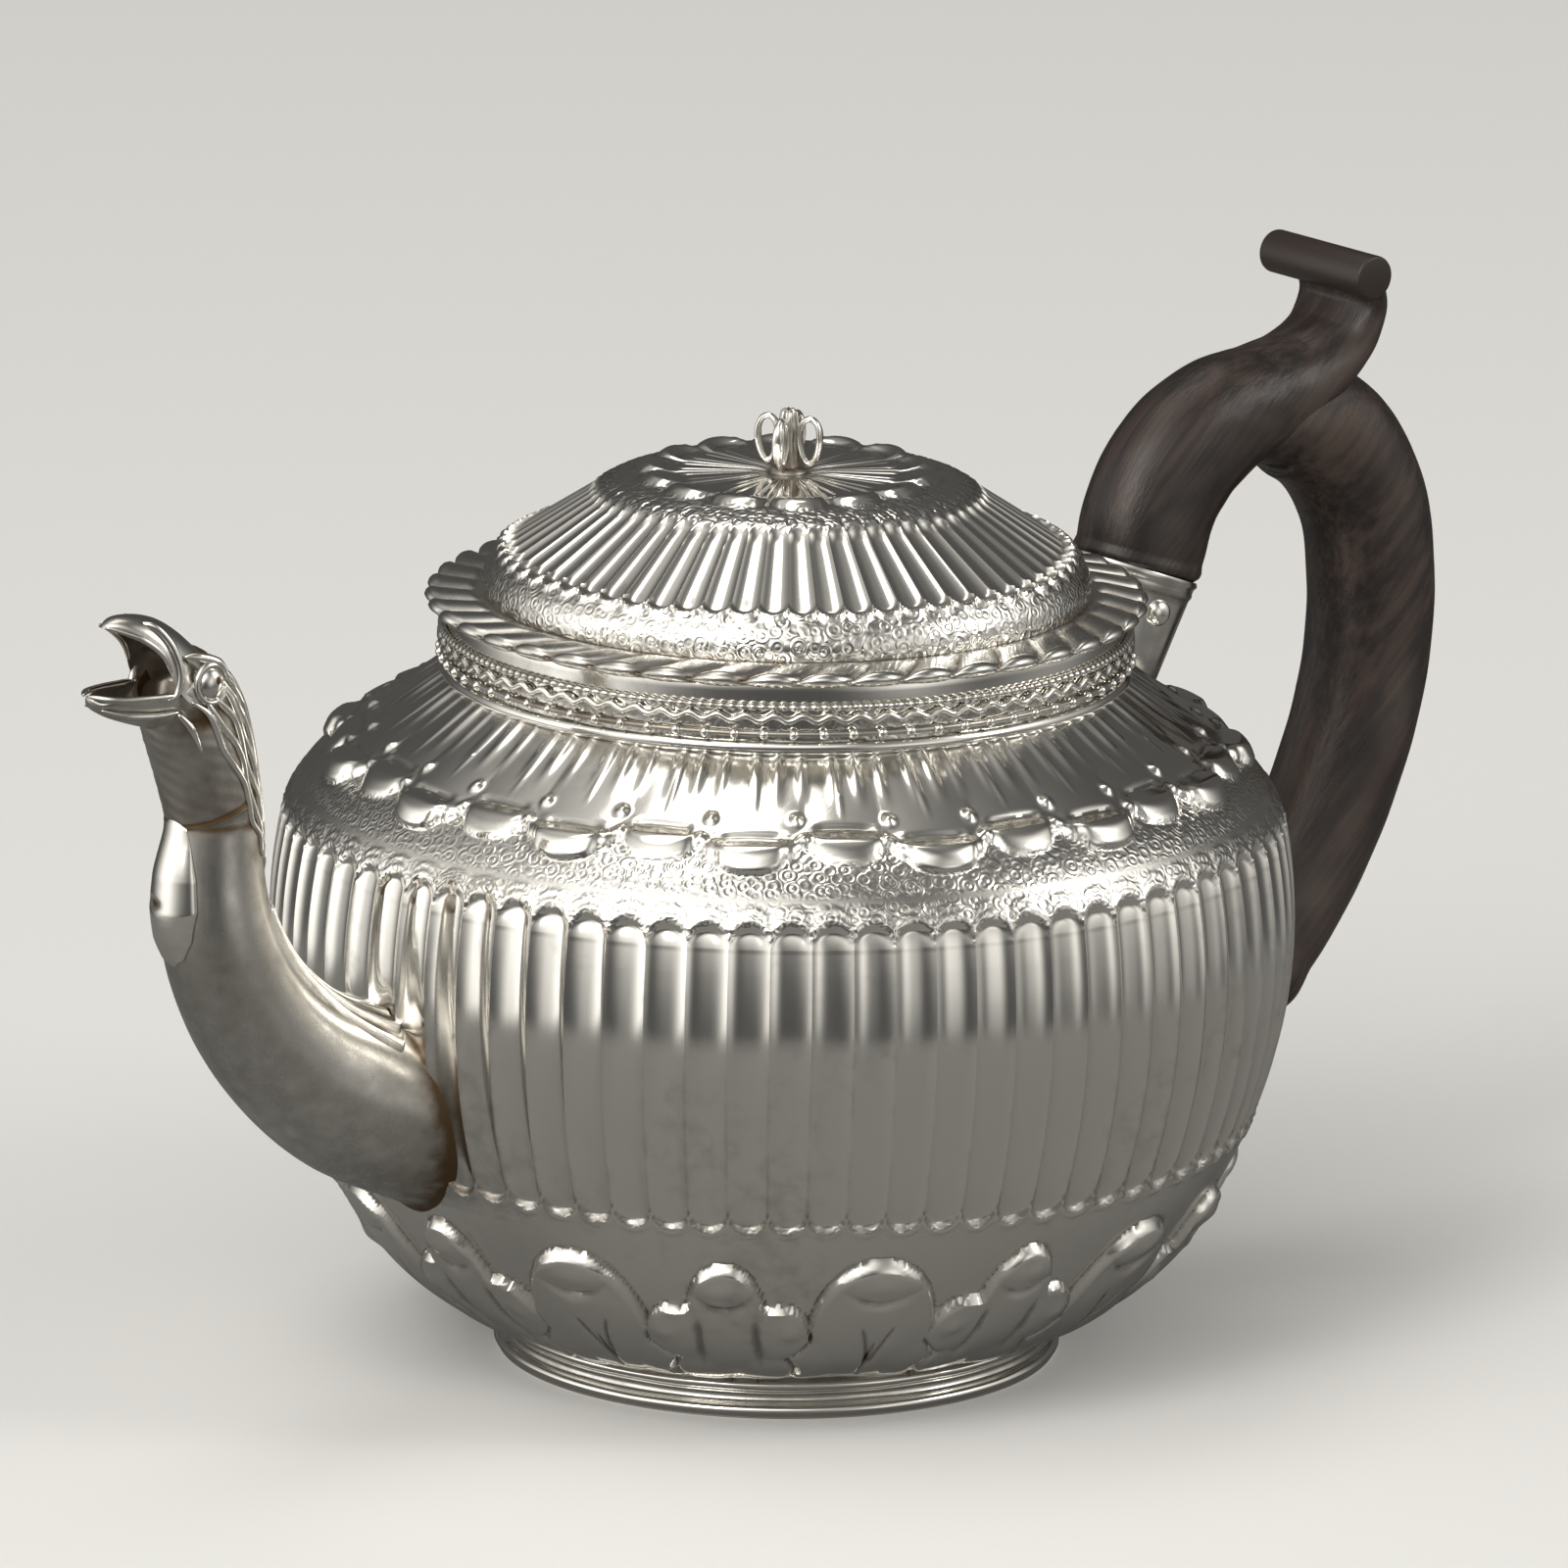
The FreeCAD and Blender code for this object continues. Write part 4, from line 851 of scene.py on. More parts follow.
# The lines of its face on one side: points, thickness at each, and steps along. They are the fold
# behind the beak, the brow, two rims of the lower half, the rim of the upper half and two folds
# of the cheek.
FACE_LINES = [
    ([(-103.2, 1.3, 110.0), (-101.4, 3.0, 109.6), (-99.6, 4.2, 107.2), (-98.7, 4.9, 104.0),
      (-99.2, 4.9, 101.2), (-100.6, 4.7, 100.4)], [0.2, 0.5, 0.55, 0.5, 0.45, 0.2], 48),
    ([(-98.0, 4.6, 105.6), (-96.0, 5.0, 105.4), (-93.4, 5.4, 104.4), (-91.6, 5.5, 102.0)],
     [0.2, 0.6, 0.65, 0.2], 36),
    ([(-109.7, 0.4, 101.4), (-107.6, 2.8, 101.1), (-104.4, 4.0, 101.0), (-100.8, 4.6, 100.9),
      (-98.8, 4.9, 101.0)], [0.3, 0.42, 0.42, 0.42, 0.2], 44),
    ([(-108.6, 1.7, 99.7), (-105.6, 3.5, 98.9), (-101.6, 4.5, 98.6), (-99.0, 5.0, 98.8)],
     [0.2, 0.36, 0.36, 0.15], 40),
    ([(-107.2, 0.7, 109.9), (-103.6, 3.3, 108.4), (-101.0, 4.2, 106.2), (-99.8, 4.6, 103.6)],
     [0.25, 0.45, 0.45, 0.2], 40),
    ([(-99.2, 5.0, 98.6), (-97.6, 5.7, 96.6), (-96.2, 6.0, 93.4)], [0.25, 0.55, 0.1], 28),
    ([(-96.0, 5.9, 99.0), (-94.2, 6.1, 97.2), (-93.4, 6.1, 94.4)], [0.2, 0.5, 0.1], 28),
]
EYE = (-94.6, 5.55, 101.9)
EYE_R = 1.85
EYE_FLAT = Matrix.Diagonal((1.0, 0.6, 1.12, 1.0))
PUPIL = (-94.2, 6.5, 102.4)
PUPIL_R = 0.42
PUPIL_FLAT = Matrix.Diagonal((1.0, 0.5, 1.4, 1.0))
# The pupils are small domes coloured dark brown: painted shade that stands for the pits of the eyes.
PUPIL_PIT_SHADE = 1.2
EYELID_LONG = 2.15
EYELID_TALL = 2.35
EYELID_ROUNDS = [0.35, 0.5, 0.6, 0.6, 0.5, 0.4, 0.4, 0.4, 0.4, 0.4, 0.3]
for side in (-1.0, 1.0):
    eye_place = Matrix.Translation((EYE[0], side * EYE[1], EYE[2])) @ EYE_FLAT
    bmesh.ops.create_uvsphere(head_form, u_segments=28, v_segments=18, radius=EYE_R, matrix=eye_place)
    pupil_place = Matrix.Translation((PUPIL[0], side * PUPIL[1], PUPIL[2])) @ PUPIL_FLAT
    dot = bmesh.ops.create_uvsphere(head_form, u_segments=14, v_segments=10, radius=PUPIL_R,
                                    matrix=pupil_place)
    # Darkens the pupil dome with painted shade.
    for vert in dot["verts"]:
        vert[head_form.verts.layers.float["hollow"]] = PUPIL_PIT_SHADE
    eyelid = [(EYE[0] + EYELID_LONG * math.cos(a), side * (5.65 - 0.25 * math.sin(a)),
               EYE[2] + EYELID_TALL * math.sin(a)) for a in np.linspace(0.1, 2 * math.pi - 0.1, 11)]
    rope(head_form, eyelid, EYELID_ROUNDS, 10, 56)
    for points, rounds, along in FACE_LINES:
        rope(head_form, [(x, side * y, z) for x, y, z in points], rounds, 10, along, 0.0)
finished("bird_head", head_form, "pot", ["spout_head"], tarnished_shaded_silver, crease=60.0)

# Mane: chased feathers that lie in ridged strands down the back of the head and neck, laid
# over the seam and ending in a point above the leaf.
mane_form = new_form()
STRANDS = 17
STRAND_ON_HEAD = 0.55
for number in range(STRANDS):
    lean = (number - (STRANDS - 1) / 2) / ((STRANDS - 1) / 2)
    strand = []
    for share in np.linspace(0.0, 1.0, 13):
        on_head = share < STRAND_ON_HEAD
        bend = head_bend if on_head else spout_bend
        down_neck = (share - STRAND_ON_HEAD) * (0.42 - 0.2 * abs(lean))
        where = 0.92 - 1.64 * share if on_head else 1.0 - down_neck
        deep = bend.at(max(where, 0.0))[2]
        wave = 0.07 * math.sin(6.0 * share * math.pi + 2.2 * number)
        turn = lean * (1.85 - 1.15 * share) + wave
        strand.append(bend.point(max(where, 0.0), turn, deep[0] + 0.05, deep[-1] + 0.05))
    thick = 0.62 - 0.12 * abs(lean)
    rounds = [0.3] + [thick * (1.0 - 0.3 * step / 11) for step in range(11)] + [0.15]
    rope(mane_form, [tuple(p) for p in strand], rounds, 8, 90, 0.15)
finished("neck_mane", mane_form, "pot", ["spout_head"], bright_silver, crease=70.0)

# Handle sockets: tapering silver cups soldered on the shoulder and low on the side, with a
# turned lip where the wood goes in. Each has its mouth's place, its lean in degrees and its length.
SOCKETS = {"upper": (57.6, 95.2, 70.0, 18.0), "lower": (74.6, 37.8, 32.0, 20.0)}
GRIP_DEEP = 8.8
GRIP_BROAD = 7.5
HANDLE_WAY = 1.0
SOCKET_TAPER = 1.9
SOCKET_DEPTH = 9.0
SOCKET_GRID = (64, 60)
OUTER_PART = 0.6
SOCKET_WALL = 0.9


def socket_point(stem, step, turn, deep, broad):
    """A point of a socket's oval section, a step down from its mouth."""
    out, up, lean = SOCKETS[stem][:3]
    rise = math.radians(lean)
    across = math.cos(turn) * deep
    return Vector((out - step * math.cos(rise) - math.sin(rise) * across, math.sin(turn) * broad,
                   up - step * math.sin(rise) + math.cos(rise) * across))


def shoulder_top(radius):
    """The height of the body's upper surface at a radius."""
    joint_r = TURN[0] + TURN[2] * math.cos(math.radians(TURN_END))
    joint_z = TURN[1] + TURN[2] * math.sin(math.radians(TURN_END))
    if radius < joint_r:
        return joint_z + (joint_r - radius) / math.tan(math.radians(TURN_END))
    return TURN[1] + math.sqrt(max(TURN[2] ** 2 - (radius - TURN[0]) ** 2, 0.0))


def socket_form(stem):
    """A cup that takes the end of the wood and stops where it meets the body."""
    reach = SOCKETS[stem][3]

    def place(round_share, along_share):
        turn = 2 * math.pi * round_share
        outer = along_share < OUTER_PART
        if outer:
            step = reach * along_share / OUTER_PART
            lip = 0.35 * hump(step, 0.5, 0.45) + 0.25 * hump(step, 1.9, 0.35)
            slim = SOCKET_TAPER * step / reach - lip
        else:
            step = SOCKET_DEPTH * (1.0 - along_share) / (1.0 - OUTER_PART)
            slim = SOCKET_WALL + SOCKET_TAPER * step / reach
        spot = socket_point(stem, step, turn, GRIP_DEEP - slim, GRIP_BROAD - slim)
        if stem == "upper":
            spot.z = max(spot.z, shoulder_top(math.hypot(spot.x, spot.y)) - SOLDER_SINK)
        else:
            spot = brought_out(spot, HANDLE_WAY)
        stain = 0.5 * hump(step, 2.6, 0.5) + 0.5 * ease(step, 0.55 * reach, 0.75 * reach)
        return spot, float(stain) if outer else 0.6

    return wrapped(new_form(), *SOCKET_GRID, place)


for stem in SOCKETS:
    node = "handle_%s_socket" % stem
    finished(stem + "_socket", socket_form(stem), "pot", [node], tarnished_shaded_silver, crease=60.0)

# Pins: silver rods driven through the holes in socket and wood, one to each socket. Their
# ends are hammered over into domed heads, so they hold without solder.
PIN_SETBACK = 5.0
PIN_HEAD = 1.75
PIN_R = 0.8
for stem in SOCKETS:
    reach = SOCKETS[stem][3]
    centre = socket_point(stem, PIN_SETBACK, 0.0, 0.0, 0.0)
    half = GRIP_BROAD - SOCKET_TAPER * PIN_SETBACK / reach + 0.2
    pin_form = new_form()
    lying = Matrix.Translation(centre) @ AXIS_TO_Y
    bmesh.ops.create_cone(pin_form, cap_ends=True, segments=20, radius1=PIN_R, radius2=PIN_R, depth=2 * half,
                          matrix=lying)
    for side in (-1.0, 1.0):
        seat = Matrix.Translation((centre.x, side * half, centre.z)) @ Matrix.Diagonal((1.0, 0.55, 1.0, 1.0))
        bmesh.ops.create_uvsphere(pin_form, u_segments=24, v_segments=14, radius=PIN_HEAD, matrix=seat)
    finished(stem + "_pin", pin_form, "pot", ["handle_%s_pin" % stem], bright_silver, crease=60.0)

# Handle: dark hardwood carved from one piece. A swelling arm leaves the upper socket, arches
# over and curls up into a thumb rest; the long bow springs from under it to the lower socket.
WOOD_DARK = (0.012, 0.009, 0.008, 1.0)
WOOD_WARM = (0.050, 0.032, 0.025, 1.0)
# The lighter brown laid on the handle's broad sides is partly wear and partly painted sheen.
WOOD_WORN_AND_SHEEN = (0.16, 0.125, 0.105, 1.0)
WOOD_POLISH = 0.30
WARM_RANGE = (0.38, 0.68)
WEAR_AND_SHEEN_RANGE = (0.42, 1.25)
FIBRE_STRETCH = (9.0, 9.0, 0.35)
PORE_STRETCH = (26.0, 26.0, 1.1)
BAND_STRETCH = (1.6, 1.6, 0.25)
PATCH_SCALE = 70.0
GRAIN_DEPTH = 0.0002
GRAIN_STRENGTH = 0.5


def wood_finish():
    finish = bpy.data.materials.new("dark_wood")
    finish.use_nodes = True
    tree = finish.node_tree
    along = tree.nodes.new("ShaderNodeAttribute")
    along.attribute_name = "grain"
    coords = along.outputs["Vector"]
    fibres = noise_node(tree, coords, 1.0, 6.0, FIBRE_STRETCH)
    pores = noise_node(tree, coords, 1.0, 3.0, PORE_STRETCH)
    bands = noise_node(tree, coords, 1.0, 3.0, BAND_STRETCH)
    place = tree.nodes.new("ShaderNodeTexCoord").outputs["Object"]
    patches = noise_node(tree, place, PATCH_SCALE, 4.0)
    wear_and_sheen = tree.nodes.new("ShaderNodeAttribute")
    wear_and_sheen.attribute_name = "hollow"
    warm = ramp_between(tree, weighted_sum(tree, 0.0, (fibres, 0.5), (bands, 0.5)), *WARM_RANGE)
    colour = mixed(tree, warm, WOOD_DARK, WOOD_WARM)
    # Lightens the wood where it is worn and where the painted sheen lies.
    rubbed_and_sheen = ramp_between(tree, weighted_sum(tree, wear_and_sheen.outputs["Fac"], (patches, 0.6)), *WEAR_AND_SHEEN_RANGE)
    colour = mixed(tree, rubbed_and_sheen, colour, WOOD_WORN_AND_SHEEN)
    gloss = weighted_sum(tree, WOOD_POLISH, (pores, 0.22))
    texture = weighted_sum(tree, fibres, (pores, 0.6))
    bump = tree.nodes.new("ShaderNodeBump")
    fill(tree, bump, {"Strength": GRAIN_STRENGTH, "Distance": GRAIN_DEPTH, "Height": texture})
    fill(tree, tree.nodes["Principled BSDF"], {
        "Specular IOR Level": 0.45, "Base Color": colour, "Roughness": gloss,
        "Normal": bump.outputs["Normal"],
    })
    return finish


dark_wood = wood_finish()
GRIP_GRID = (56, 260)
ARM_STATIONS = [
    (54.4, 86.4, 6.2, 5.2), (57.4, 94.6, 7.5, 6.3), (57.6, 95.2, 8.6, 7.3), (58.3, 97.4, 8.9, 7.6),
    (60.2, 103.4, 9.0, 7.7), (64.6, 109.2, 8.9, 7.7), (71.0, 113.2, 8.2, 7.7), (78.6, 115.6, 6.8, 7.7),
    (85.6, 118.6, 5.2, 7.8), (90.6, 123.0, 3.7, 8.0), (92.0, 127.4, 2.7, 8.4), (90.6, 130.6, 2.2, 8.8),
    (89.0, 131.8, 1.6, 9.0),
]
BOW_STATIONS = [
    (74.0, 110.6, 4.5, 5.5), (80.5, 112.6, 8.0, 7.2), (89.2, 108.8, 8.8, 7.5), (95.4, 100.6, 8.9, 7.5),
    (97.9, 88.0, 8.9, 7.5), (96.9, 75.0, 8.8, 7.5), (93.3, 63.5, 8.7, 7.5), (87.0, 51.4, 8.7, 7.5),
    (80.4, 42.8, 8.7, 7.5), (75.6, 38.5, 8.7, 7.4), (74.6, 37.8, 7.5, 6.3), (67.4, 33.3, 6.2, 5.2),
]


def carved(form, bend, facet):
    """A bar of wood along a bend, softly faceted, with its grain laid along it."""
    grain = form.verts.layers.float_vector["grain"]

    def place(round_share, along_share):
        turn = 2 * math.pi * round_share
        deep, broad = bend.at(along_share)[2]
        square = 1.0 + facet * math.cos(4 * turn)
        closed = math.sqrt(max(1.0 - (2 * along_share - 1) ** 60, 0.0))
        knife = 1.0 + 0.006 * math.sin(9 * turn + 40 * along_share) * math.sin(31 * along_share)
        spot = bend.point(along_share, turn, deep * square * closed * knife, broad * square * closed * knife)
        # Lighter on the middle of both broad sides and a little on one narrow side: partly wear, partly
        # painted sheen.
        edge = 0.30 * abs(math.sin(turn)) ** 6 + 0.12 * max(0.0, math.cos(turn)) ** 4
        return spot, edge

    before = set(form.verts)
    wrapped(form, *GRIP_GRID, place)
    for vert in form.verts:
        if vert not in before:
            vert[grain] = (vert.co.y * 0.12, (vert.co.x - vert.co.z) * 0.05, (vert.co.x + vert.co.z) * 0.03)


grip_form = new_form()
grip_form.verts.layers.float_vector.new("grain")
carved(grip_form, Bend(ARM_STATIONS, 120, HANDLE_WAY), -0.012)
carved(grip_form, Bend(BOW_STATIONS, 160, HANDLE_WAY), -0.018)
ROLL_SPOT = (88.8, 0.0, 131.6)
ROLL_R = 2.88
ROLL_LONG = 20.5
ROLL_SOFT = 0.35
roll_turn = Matrix.Translation(ROLL_SPOT) @ AXIS_TO_Y
roll = bmesh.ops.create_cone(grip_form, cap_ends=True, segments=40, radius1=ROLL_R, radius2=ROLL_R,
                             depth=ROLL_LONG, matrix=roll_turn)
roll_edges = {e for v in roll["verts"] for e in v.link_edges}
roll_rim = [e for e in roll_edges if abs(e.verts[0].co.y - e.verts[1].co.y) < 0.01]
bmesh.ops.bevel(grip_form, geom=roll_rim, offset=ROLL_SOFT, segments=3, profile=0.5, affect="EDGES",
                material=-1)
finished("wooden_handle", grip_form, "pot", ["handle_grip"], dark_wood, crease=50.0)

# Lid border: a flat ring with slanting gadroons stamped across it and a wavy edge, resting
# on the collar. The bezel under it is a plain strip that fits inside the mouth.
GADROONS = 42
GADROON_STEPS = 18
BORDER_R = 45.2
BORDER_HOLE = 37.7
BORDER_TOP = 99.9
border_outside = ([(x, SEAT_Z + 0.1) for x in np.linspace(43.6, 45.3, 4)]
                  + arc_points((BORDER_R, SEAT_Z + 0.75, 0.6), -60, 80, 7)
                  + [(x, SEAT_Z + 1.3 + 0.45 * (BORDER_R - x) / 6.2) for x in np.linspace(44.8, 38.6, 22)])
border_inside = [(BORDER_HOLE, BORDER_TOP - 0.1), (BORDER_HOLE, SEAT_Z + 0.05), (43.2, SEAT_Z + 0.02)]


def border_relief(angle, radius, height):
    swirl = angle + 0.016 * (radius - 39.0)
    rib = across_period(swirl, GADROONS)
    swell = np.sqrt(np.maximum(1.0 - 0.97 * rib ** 2, 0.0))
    out = ease(radius, 39.2, 41.0)
    upper = ease(height, SEAT_Z + 0.3, SEAT_Z + 0.9)
    raised = (1.25 * swell - 0.75) * out * upper + (0.5 * swell - 0.4) * ease(radius, 44.4, 45.4)
    hollow = 0.5 * hump(np.abs(rib), 1.0, 0.22) * out + 0.45 * hump(radius, 39.2, 0.8)
    return raised, hollow, (1 - out) * 0.5


border_form = turned(border_outside, border_inside, GADROONS * GADROON_STEPS)
chase(border_form, border_relief)
for vert in border_form.verts:
    vert.co.z = max(vert.co.z, SEAT_Z + 0.01)
finished("lid_gadroons", border_form, "lid", ["lid_border"], tarnished_shaded_silver)

BEZEL_R = MOUTH_R - 0.3
BEZEL_STEPS = 192
bezel_outside = [(BEZEL_R - 0.2, 93.6), (BEZEL_R, 93.9), (BEZEL_R, 96.0), (BEZEL_R, SEAT_Z)]
bezel_inside = [(BEZEL_R - 0.9, SEAT_Z), (BEZEL_R - 0.9, 96.0), (BEZEL_R - 0.9, 93.9), (BEZEL_R - 0.7, 93.6)]


def evenly_dulled(amount):
    """A relief for plain metal out of sight, with nothing on it but an even dullness."""
    return lambda angle, radius, height: (0.0 * angle, amount + 0.0 * angle, 0.0 * angle)


chased_ring("lid_inner_ring", bezel_outside, bezel_inside, BEZEL_STEPS, evenly_dulled(0.3),
            "lid", "lid_bezel", tarnished_shaded_silver)

# Lid dome: raised from sheet, with a bright stippled band, concave flutes between two
# scalloped lines, and a rosette of leaves round the finial.
DOME_R = 39.0
KNEE = (34.0, 100.9, 5.0)
DOME_SLOPE = 57.0
DOME_TOP = 115.2
CROWN_ROUND = 12.0
DOME_WALL = 0.9
LID_FLUTES = 62
LID_FLUTE_STEPS = 16
LID_FLUTE_DEPTH = 0.5
LID_FLUTE_HALF = 1.5
LID_FLUTE_LIP = 0.42
knee_end = arc_points(KNEE, 0, DOME_SLOPE, 14)[-1]
crown_z = DOME_TOP - CROWN_ROUND
crown_joint_z = crown_z + CROWN_ROUND * math.sin(math.radians(DOME_SLOPE))
crown_joint_r = knee_end[0] - (crown_joint_z - knee_end[1]) * math.tan(math.radians(DOME_SLOPE))
crown_r = crown_joint_r - CROWN_ROUND * math.cos(math.radians(DOME_SLOPE))
crown_joint = (crown_joint_r, crown_joint_z)
steps_up = np.linspace(0.0, 1.0, 37) ** 1.4
dome_slope = [tuple(np.array(knee_end) * (1.0 - s) + np.array(crown_joint) * s) for s in steps_up]
dome_line = ([(DOME_R, BORDER_TOP), (DOME_R, 100.4)] + arc_points(KNEE, 0, DOME_SLOPE, 14) + dome_slope[1:]
             + arc_points((crown_r, crown_z, CROWN_ROUND), DOME_SLOPE, 90, 10)[1:]
             + [(r, DOME_TOP) for r in np.linspace(crown_r, 1.0, 22)[1:]])
dome_inner = inset_points(dome_line[:-2], DOME_WALL)[::8] + [(1.0, DOME_TOP - DOME_WALL)]
dome_inner[0] = (DOME_R - DOME_WALL, BORDER_TOP)
FLUTE_FOOT = 2.4
FLUTE_HEAD = 15.0
ROSETTE_LEAVES = 14
ROSETTE_R = 19.6


def dome_relief(angle, radius, height):
    down = DOME_R - radius
    wander = 0.12 * np.sin(4 * angle) + 0.1 * np.sin(9 * angle + 1.0)
    narrow = np.clip(radius / 36.0, 0.5, 1.0)
    line = down + wander - 3.0 * ease(-height, -101.5, -100.0)
    raised, _, ends = fluting(angle, line, FLUTE_FOOT, FLUTE_HEAD, LID_FLUTES, LID_FLUTE_DEPTH,
                              LID_FLUTE_HALF, LID_FLUTE_LIP)
    raised = np.where(radius > 20.5, raised * narrow, 0.0)
    share = across_period(angle, ROSETTE_LEAVES, 0.3)
    near = np.abs(share)
    edge = ROSETTE_R - 3.4 * (1.0 - np.sqrt(1.0 - 0.96 * near ** 2))
    depth = edge - radius
    leafy = ease(depth, -0.2, 0.5) * ease(radius, 2.6, 5.0)
    roll = hump(depth, 1.5, 1.1) * (1 - near ** 3)
    crease = hump(depth, 3.4, 0.5) * (1 - near ** 2)
    vein = hump(near, 1.0, 0.1) + 0.5 * hump(near, 0.45, 0.07) * (radius < 14.0)
    raised = raised + leafy * (0.3 + 0.75 * roll - 0.35 * vein - 0.3 * crease)
    ground = ease(radius, 19.5, 20.0) * ease(-radius, -24.2, -23.6)
    band = ease(-down, -2.4, -1.6)
    spots = hump(down + wander, FLUTE_FOOT + 2.0, 0.9) * (1.0 - np.abs(across_period(angle, LID_FLUTES))) ** 2
    spots = spots * (0.5 + 0.5 * np.sin(angle * 7.3) * np.sin(angle * 17.9))
    hollow = 0.35 * leafy * (vein + crease) + 0.3 * hump(depth, -0.3, 0.4) + 0.25 * ends * (radius > 20.0)
    hollow = hollow + 0.6 * spots + 0.5 * hump(radius, 3.0, 2.0) + 0.35 * hump(height, BORDER_TOP, 0.6)
    return raised, hollow, np.maximum(ground, band)


chased_ring("lid_fluted_dome", dome_line, dome_inner[::-1], LID_FLUTES * LID_FLUTE_STEPS, dome_relief,
            "lid", "lid_dome", bright_silver)

# Finial: a ribbed stem on a small collar, with four scrolls of flat wire soldered round it.
# The stem goes through the dome to a washer and a nut inside.
FINIAL_OUTLINE = [
    (0.0, 111.6), (0.85, 111.6), (0.85, DOME_TOP), (2.3, DOME_TOP), (2.45, 115.5), (2.2, 115.9), (1.5, 116.1),
    (1.35, 116.5), (1.25, 120.0), (1.4, 121.2), (1.1, 122.6), (1.0, 123.2), (0.6, 123.6), (0.0, 123.6),
]
FINIAL_RIBS = 6


def finial_relief(angle, radius, height):
    ribs = 0.2 * np.cos(FINIAL_RIBS * angle) * ease(height, 116.2, 117.0) * ease(radius, 0.3, 0.8)
    return ribs, 0.4 * hump(height, 116.2, 0.6) + 0.2, 0.0 * angle


chased_ring("finial_stem", FINIAL_OUTLINE, [], 48, finial_relief, "lid", "finial_post", tarnished_shaded_silver)

SCROLLS = 4
SCROLL_OUT = 2.85
SCROLL_Z = 119.6
SCROLL_TALL = 2.9
WIRE_HALF = 0.42
SCROLL_GRID = (12, 48)
scroll_form = new_form()
for number in range(SCROLLS):
    facing = 2 * math.pi * (number + 0.35) / SCROLLS

    def scroll_place(round_share, along_share, facing=facing):
        turn = 2 * math.pi * round_share
        sweep = 2 * math.pi * along_share
        wide = 1.35 + 0.30 * math.sin(sweep)
        out = SCROLL_OUT + wide * math.cos(sweep) + WIRE_HALF * math.sin(turn) * math.cos(sweep)
        up = SCROLL_Z + SCROLL_TALL * math.sin(sweep) + WIRE_HALF * math.sin(turn) * math.sin(sweep)
        aside = 0.75 * math.cos(turn) * (0.75 + 0.25 * math.cos(2 * sweep))
        across = out * math.cos(facing) - aside * math.sin(facing)
        along = out * math.sin(facing) + aside * math.cos(facing)
        by_stem = float(math.cos(sweep) < -0.6)
        return Vector((across, along, up)), 0.15 + 0.3 * by_stem

    wrapped(scroll_form, *SCROLL_GRID, scroll_place)
finished("finial_loops", scroll_form, "lid", ["finial_scrolls"], bright_silver, crease=60.0)

STEM_HOLE_R = 0.95
washer_outside = [(3.1, 113.8), (3.2, 113.9), (3.2, 114.2), (3.1, 114.3)]
washer_inside = [(STEM_HOLE_R, 114.3), (STEM_HOLE_R, 113.8)]
chased_ring("lid_washer", washer_outside, washer_inside, 40, evenly_dulled(0.5),
            "lid", "finial_washer", tarnished_shaded_silver)
NUT_SIDES = 6
nut_outside = [(2.2, 112.2), (2.3, 112.4), (2.3, 113.5), (2.2, 113.8)]
nut_inside = [(STEM_HOLE_R, 113.8), (STEM_HOLE_R, 112.2)]
chased_ring("lid_nut", nut_outside, nut_inside, NUT_SIDES, evenly_dulled(0.5),
            "lid", "finial_nut", tarnished_shaded_silver, crease=30.0)

# Stage: a pale floor and soft lamps, seen from the photograph's side and height. In the metal
# the floor shows as a darker table that ends near the pot, with the room beyond it.
FLOOR_COLOUR = (0.80, 0.80, 0.79, 1.0)
FLOOR_IN_METAL = (0.18, 0.18, 0.177, 1.0)
FLOOR_ROUGHNESS = 0.9
FLOOR_HALF = 6.0
TABLE_EDGE = (0.24, 0.33)
floor_form = bmesh.new()
bmesh.ops.create_grid(floor_form, x_segments=1, y_segments=1, size=FLOOR_HALF)
floor_mesh = bpy.data.meshes.new("floor")
floor_form.to_mesh(floor_mesh)
floor_form.free()
floor = bpy.data.objects.new("floor", floor_mesh)
bpy.context.scene.collection.objects.link(floor)
floor_finish = bpy.data.materials.new("pale_floor")
floor_finish.use_nodes = True
floor_tree = floor_finish.node_tree
floor_shader = floor_tree.nodes["Principled BSDF"]
ray = floor_tree.nodes.new("ShaderNodeLightPath")
floor_tone = mixed(floor_tree, ray.outputs["Is Glossy Ray"], FLOOR_COLOUR, FLOOR_IN_METAL)
fill(floor_tree, floor_shader, {"Base Color": floor_tone, "Roughness": FLOOR_ROUGHNESS})
floor_spot = floor_tree.nodes.new("ShaderNodeTexCoord").outputs["Object"]
far_off = floor_tree.nodes.new("ShaderNodeVectorMath")
far_off.operation = "LENGTH"
fill(floor_tree, far_off, {0: floor_spot})
beyond = ramp_between(floor_tree, far_off.outputs["Value"], *TABLE_EDGE)
unseen = math_node(floor_tree, "MULTIPLY", beyond, ray.outputs["Is Glossy Ray"])
clear = floor_tree.nodes.new("ShaderNodeBsdfTransparent")
either = floor_tree.nodes.new("ShaderNodeMixShader")
fill(floor_tree, either, {"Fac": unseen, 1: floor_shader.outputs["BSDF"], 2: clear.outputs["BSDF"]})
fill(floor_tree, floor_tree.nodes["Material Output"], {"Surface": either.outputs["Shader"]})
floor_mesh.materials.append(floor_finish)

world = bpy.data.worlds.new("studio")
bpy.context.scene.world = world
world.use_nodes = True
tree = world.node_tree
way = tree.nodes.new("ShaderNodeTexCoord").outputs["Generated"]


def glow(toward, narrow, level):
    """A soft round glow of light from one direction."""
    dot = tree.nodes.new("ShaderNodeVectorMath")
    dot.operation = "DOT_PRODUCT"
    fill(tree, dot, {0: way, 1: Vector(toward).normalized()})
    share = math_node(tree, "MAXIMUM", dot.outputs["Value"], 0.0)
    return math_node(tree, "MULTIPLY", math_node(tree, "POWER", share, narrow), level)


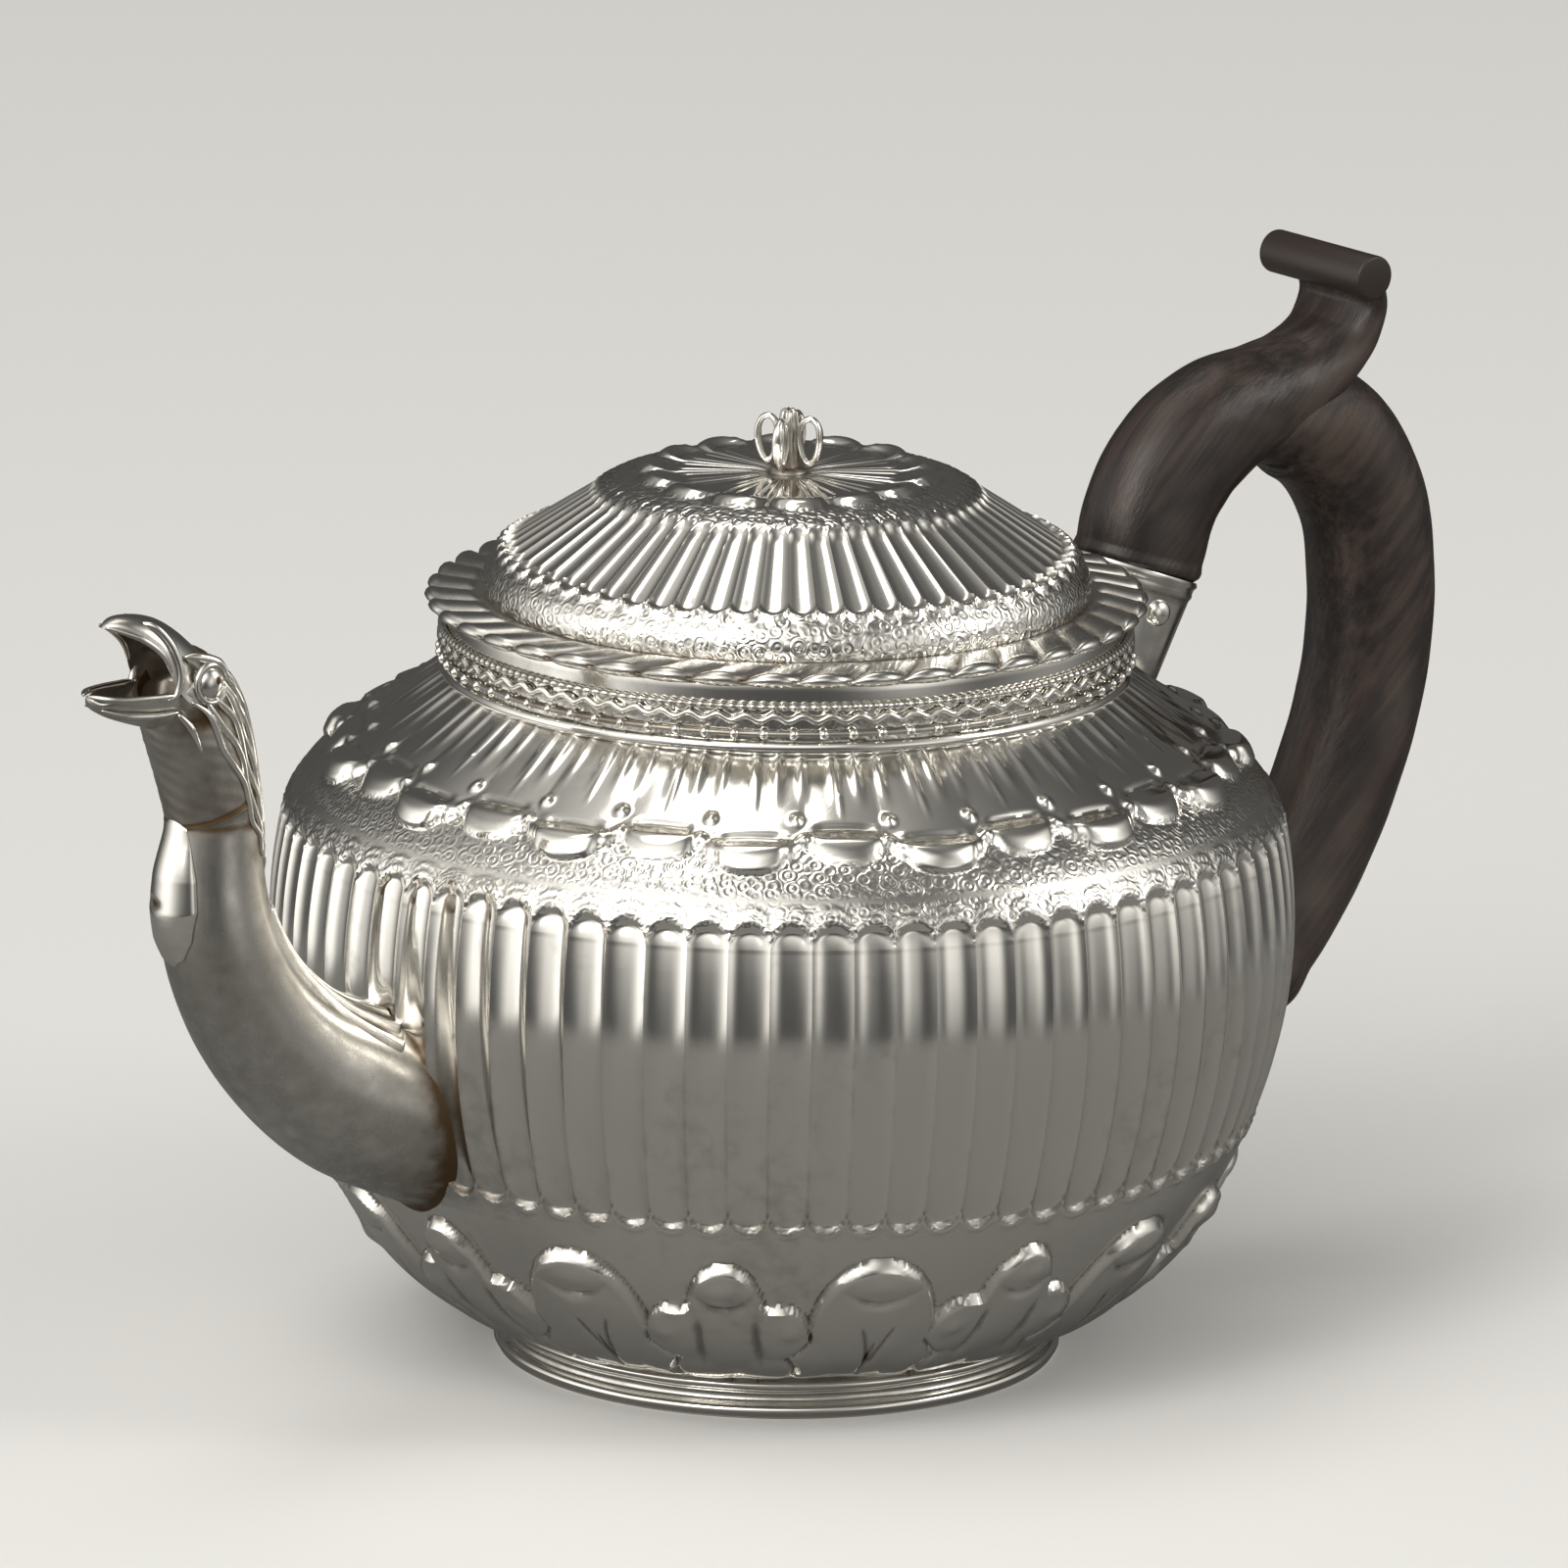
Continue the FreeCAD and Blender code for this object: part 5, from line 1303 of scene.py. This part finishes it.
ROOM_GLOWS = [
    ((-0.75, -0.25, 0.62), 9.0, 2.0),
    ((0.62, -0.62, 0.55), 16.0, 1.7),
    ((-0.05, 0.30, 0.95), 10.0, 0.55),
    ((-0.45, -0.75, 0.62), 22.0, 0.8),
    ((-0.87, 0.47, 0.10), 6.0, 1.5),
    ((0.12, -0.99, 0.12), 20.0, 0.9),
    ((0.88, -0.47, 0.10), 12.0, 0.4),
]
ROOM_LEVEL = 0.08
ROOM_COLOUR = (1.0, 0.98, 0.94, 1.0)
level = ROOM_LEVEL
for toward, narrow, strength in ROOM_GLOWS:
    level = math_node(tree, "ADD", level, glow(toward, narrow, strength))
fill(tree, tree.nodes["Background"], {"Strength": level, "Color": ROOM_COLOUR})

AIM = Vector((0.0, 0.0, 0.06))
WARM_WHITE = (1.0, 0.97, 0.92)
LAMPS = [
    ("left_window", (-1.05, -0.45, 0.80), (0.35, 0.8), 6.0),
    ("right_window", (0.75, -1.05, 0.80), (0.25, 0.7), 4.0),
    ("overhead", (-0.1, 0.25, 1.45), (1.2, 0.5), 3.0),
]
for name, place, size, power in LAMPS:
    lamp = bpy.data.lights.new(name, "AREA")
    lamp.shape = "RECTANGLE"
    lamp.size, lamp.size_y = size
    lamp.energy = power
    lamp.color = WARM_WHITE
    holder = bpy.data.objects.new(name, lamp)
    holder.location = place
    holder.rotation_mode = "QUATERNION"
    holder.rotation_quaternion = (AIM - Vector(place)).to_track_quat("-Z", "Y")
    bpy.context.scene.collection.objects.link(holder)

YAW = math.radians(-38.0)
ELEVATION = math.radians(15.0)
ROLL_ANGLE = math.radians(0.8)
DISTANCE = 1.9
LENS = 338.6
SENSOR = 36.0
PIVOT = Vector((0.0, 0.0, 0.05))
AIM_POINT = Vector((0.0, 0.0, 0.0742))
camera = bpy.data.cameras.new("photo_camera")
camera.lens = LENS
camera.sensor_width = SENSOR
viewer = bpy.data.objects.new("photo_camera", camera)
bpy.context.scene.collection.objects.link(viewer)
level_way = math.cos(ELEVATION)
back = Vector((math.sin(YAW) * level_way, -math.cos(YAW) * level_way, math.sin(ELEVATION)))
viewer.location = PIVOT + back * DISTANCE
viewer.rotation_mode = "QUATERNION"
facing = (AIM_POINT - viewer.location).to_track_quat("-Z", "Y")
viewer.rotation_quaternion = facing @ Quaternion((0.0, 0.0, 1.0), ROLL_ANGLE)
bpy.context.scene.camera = viewer
bpy.context.scene.view_settings.view_transform = "Standard"
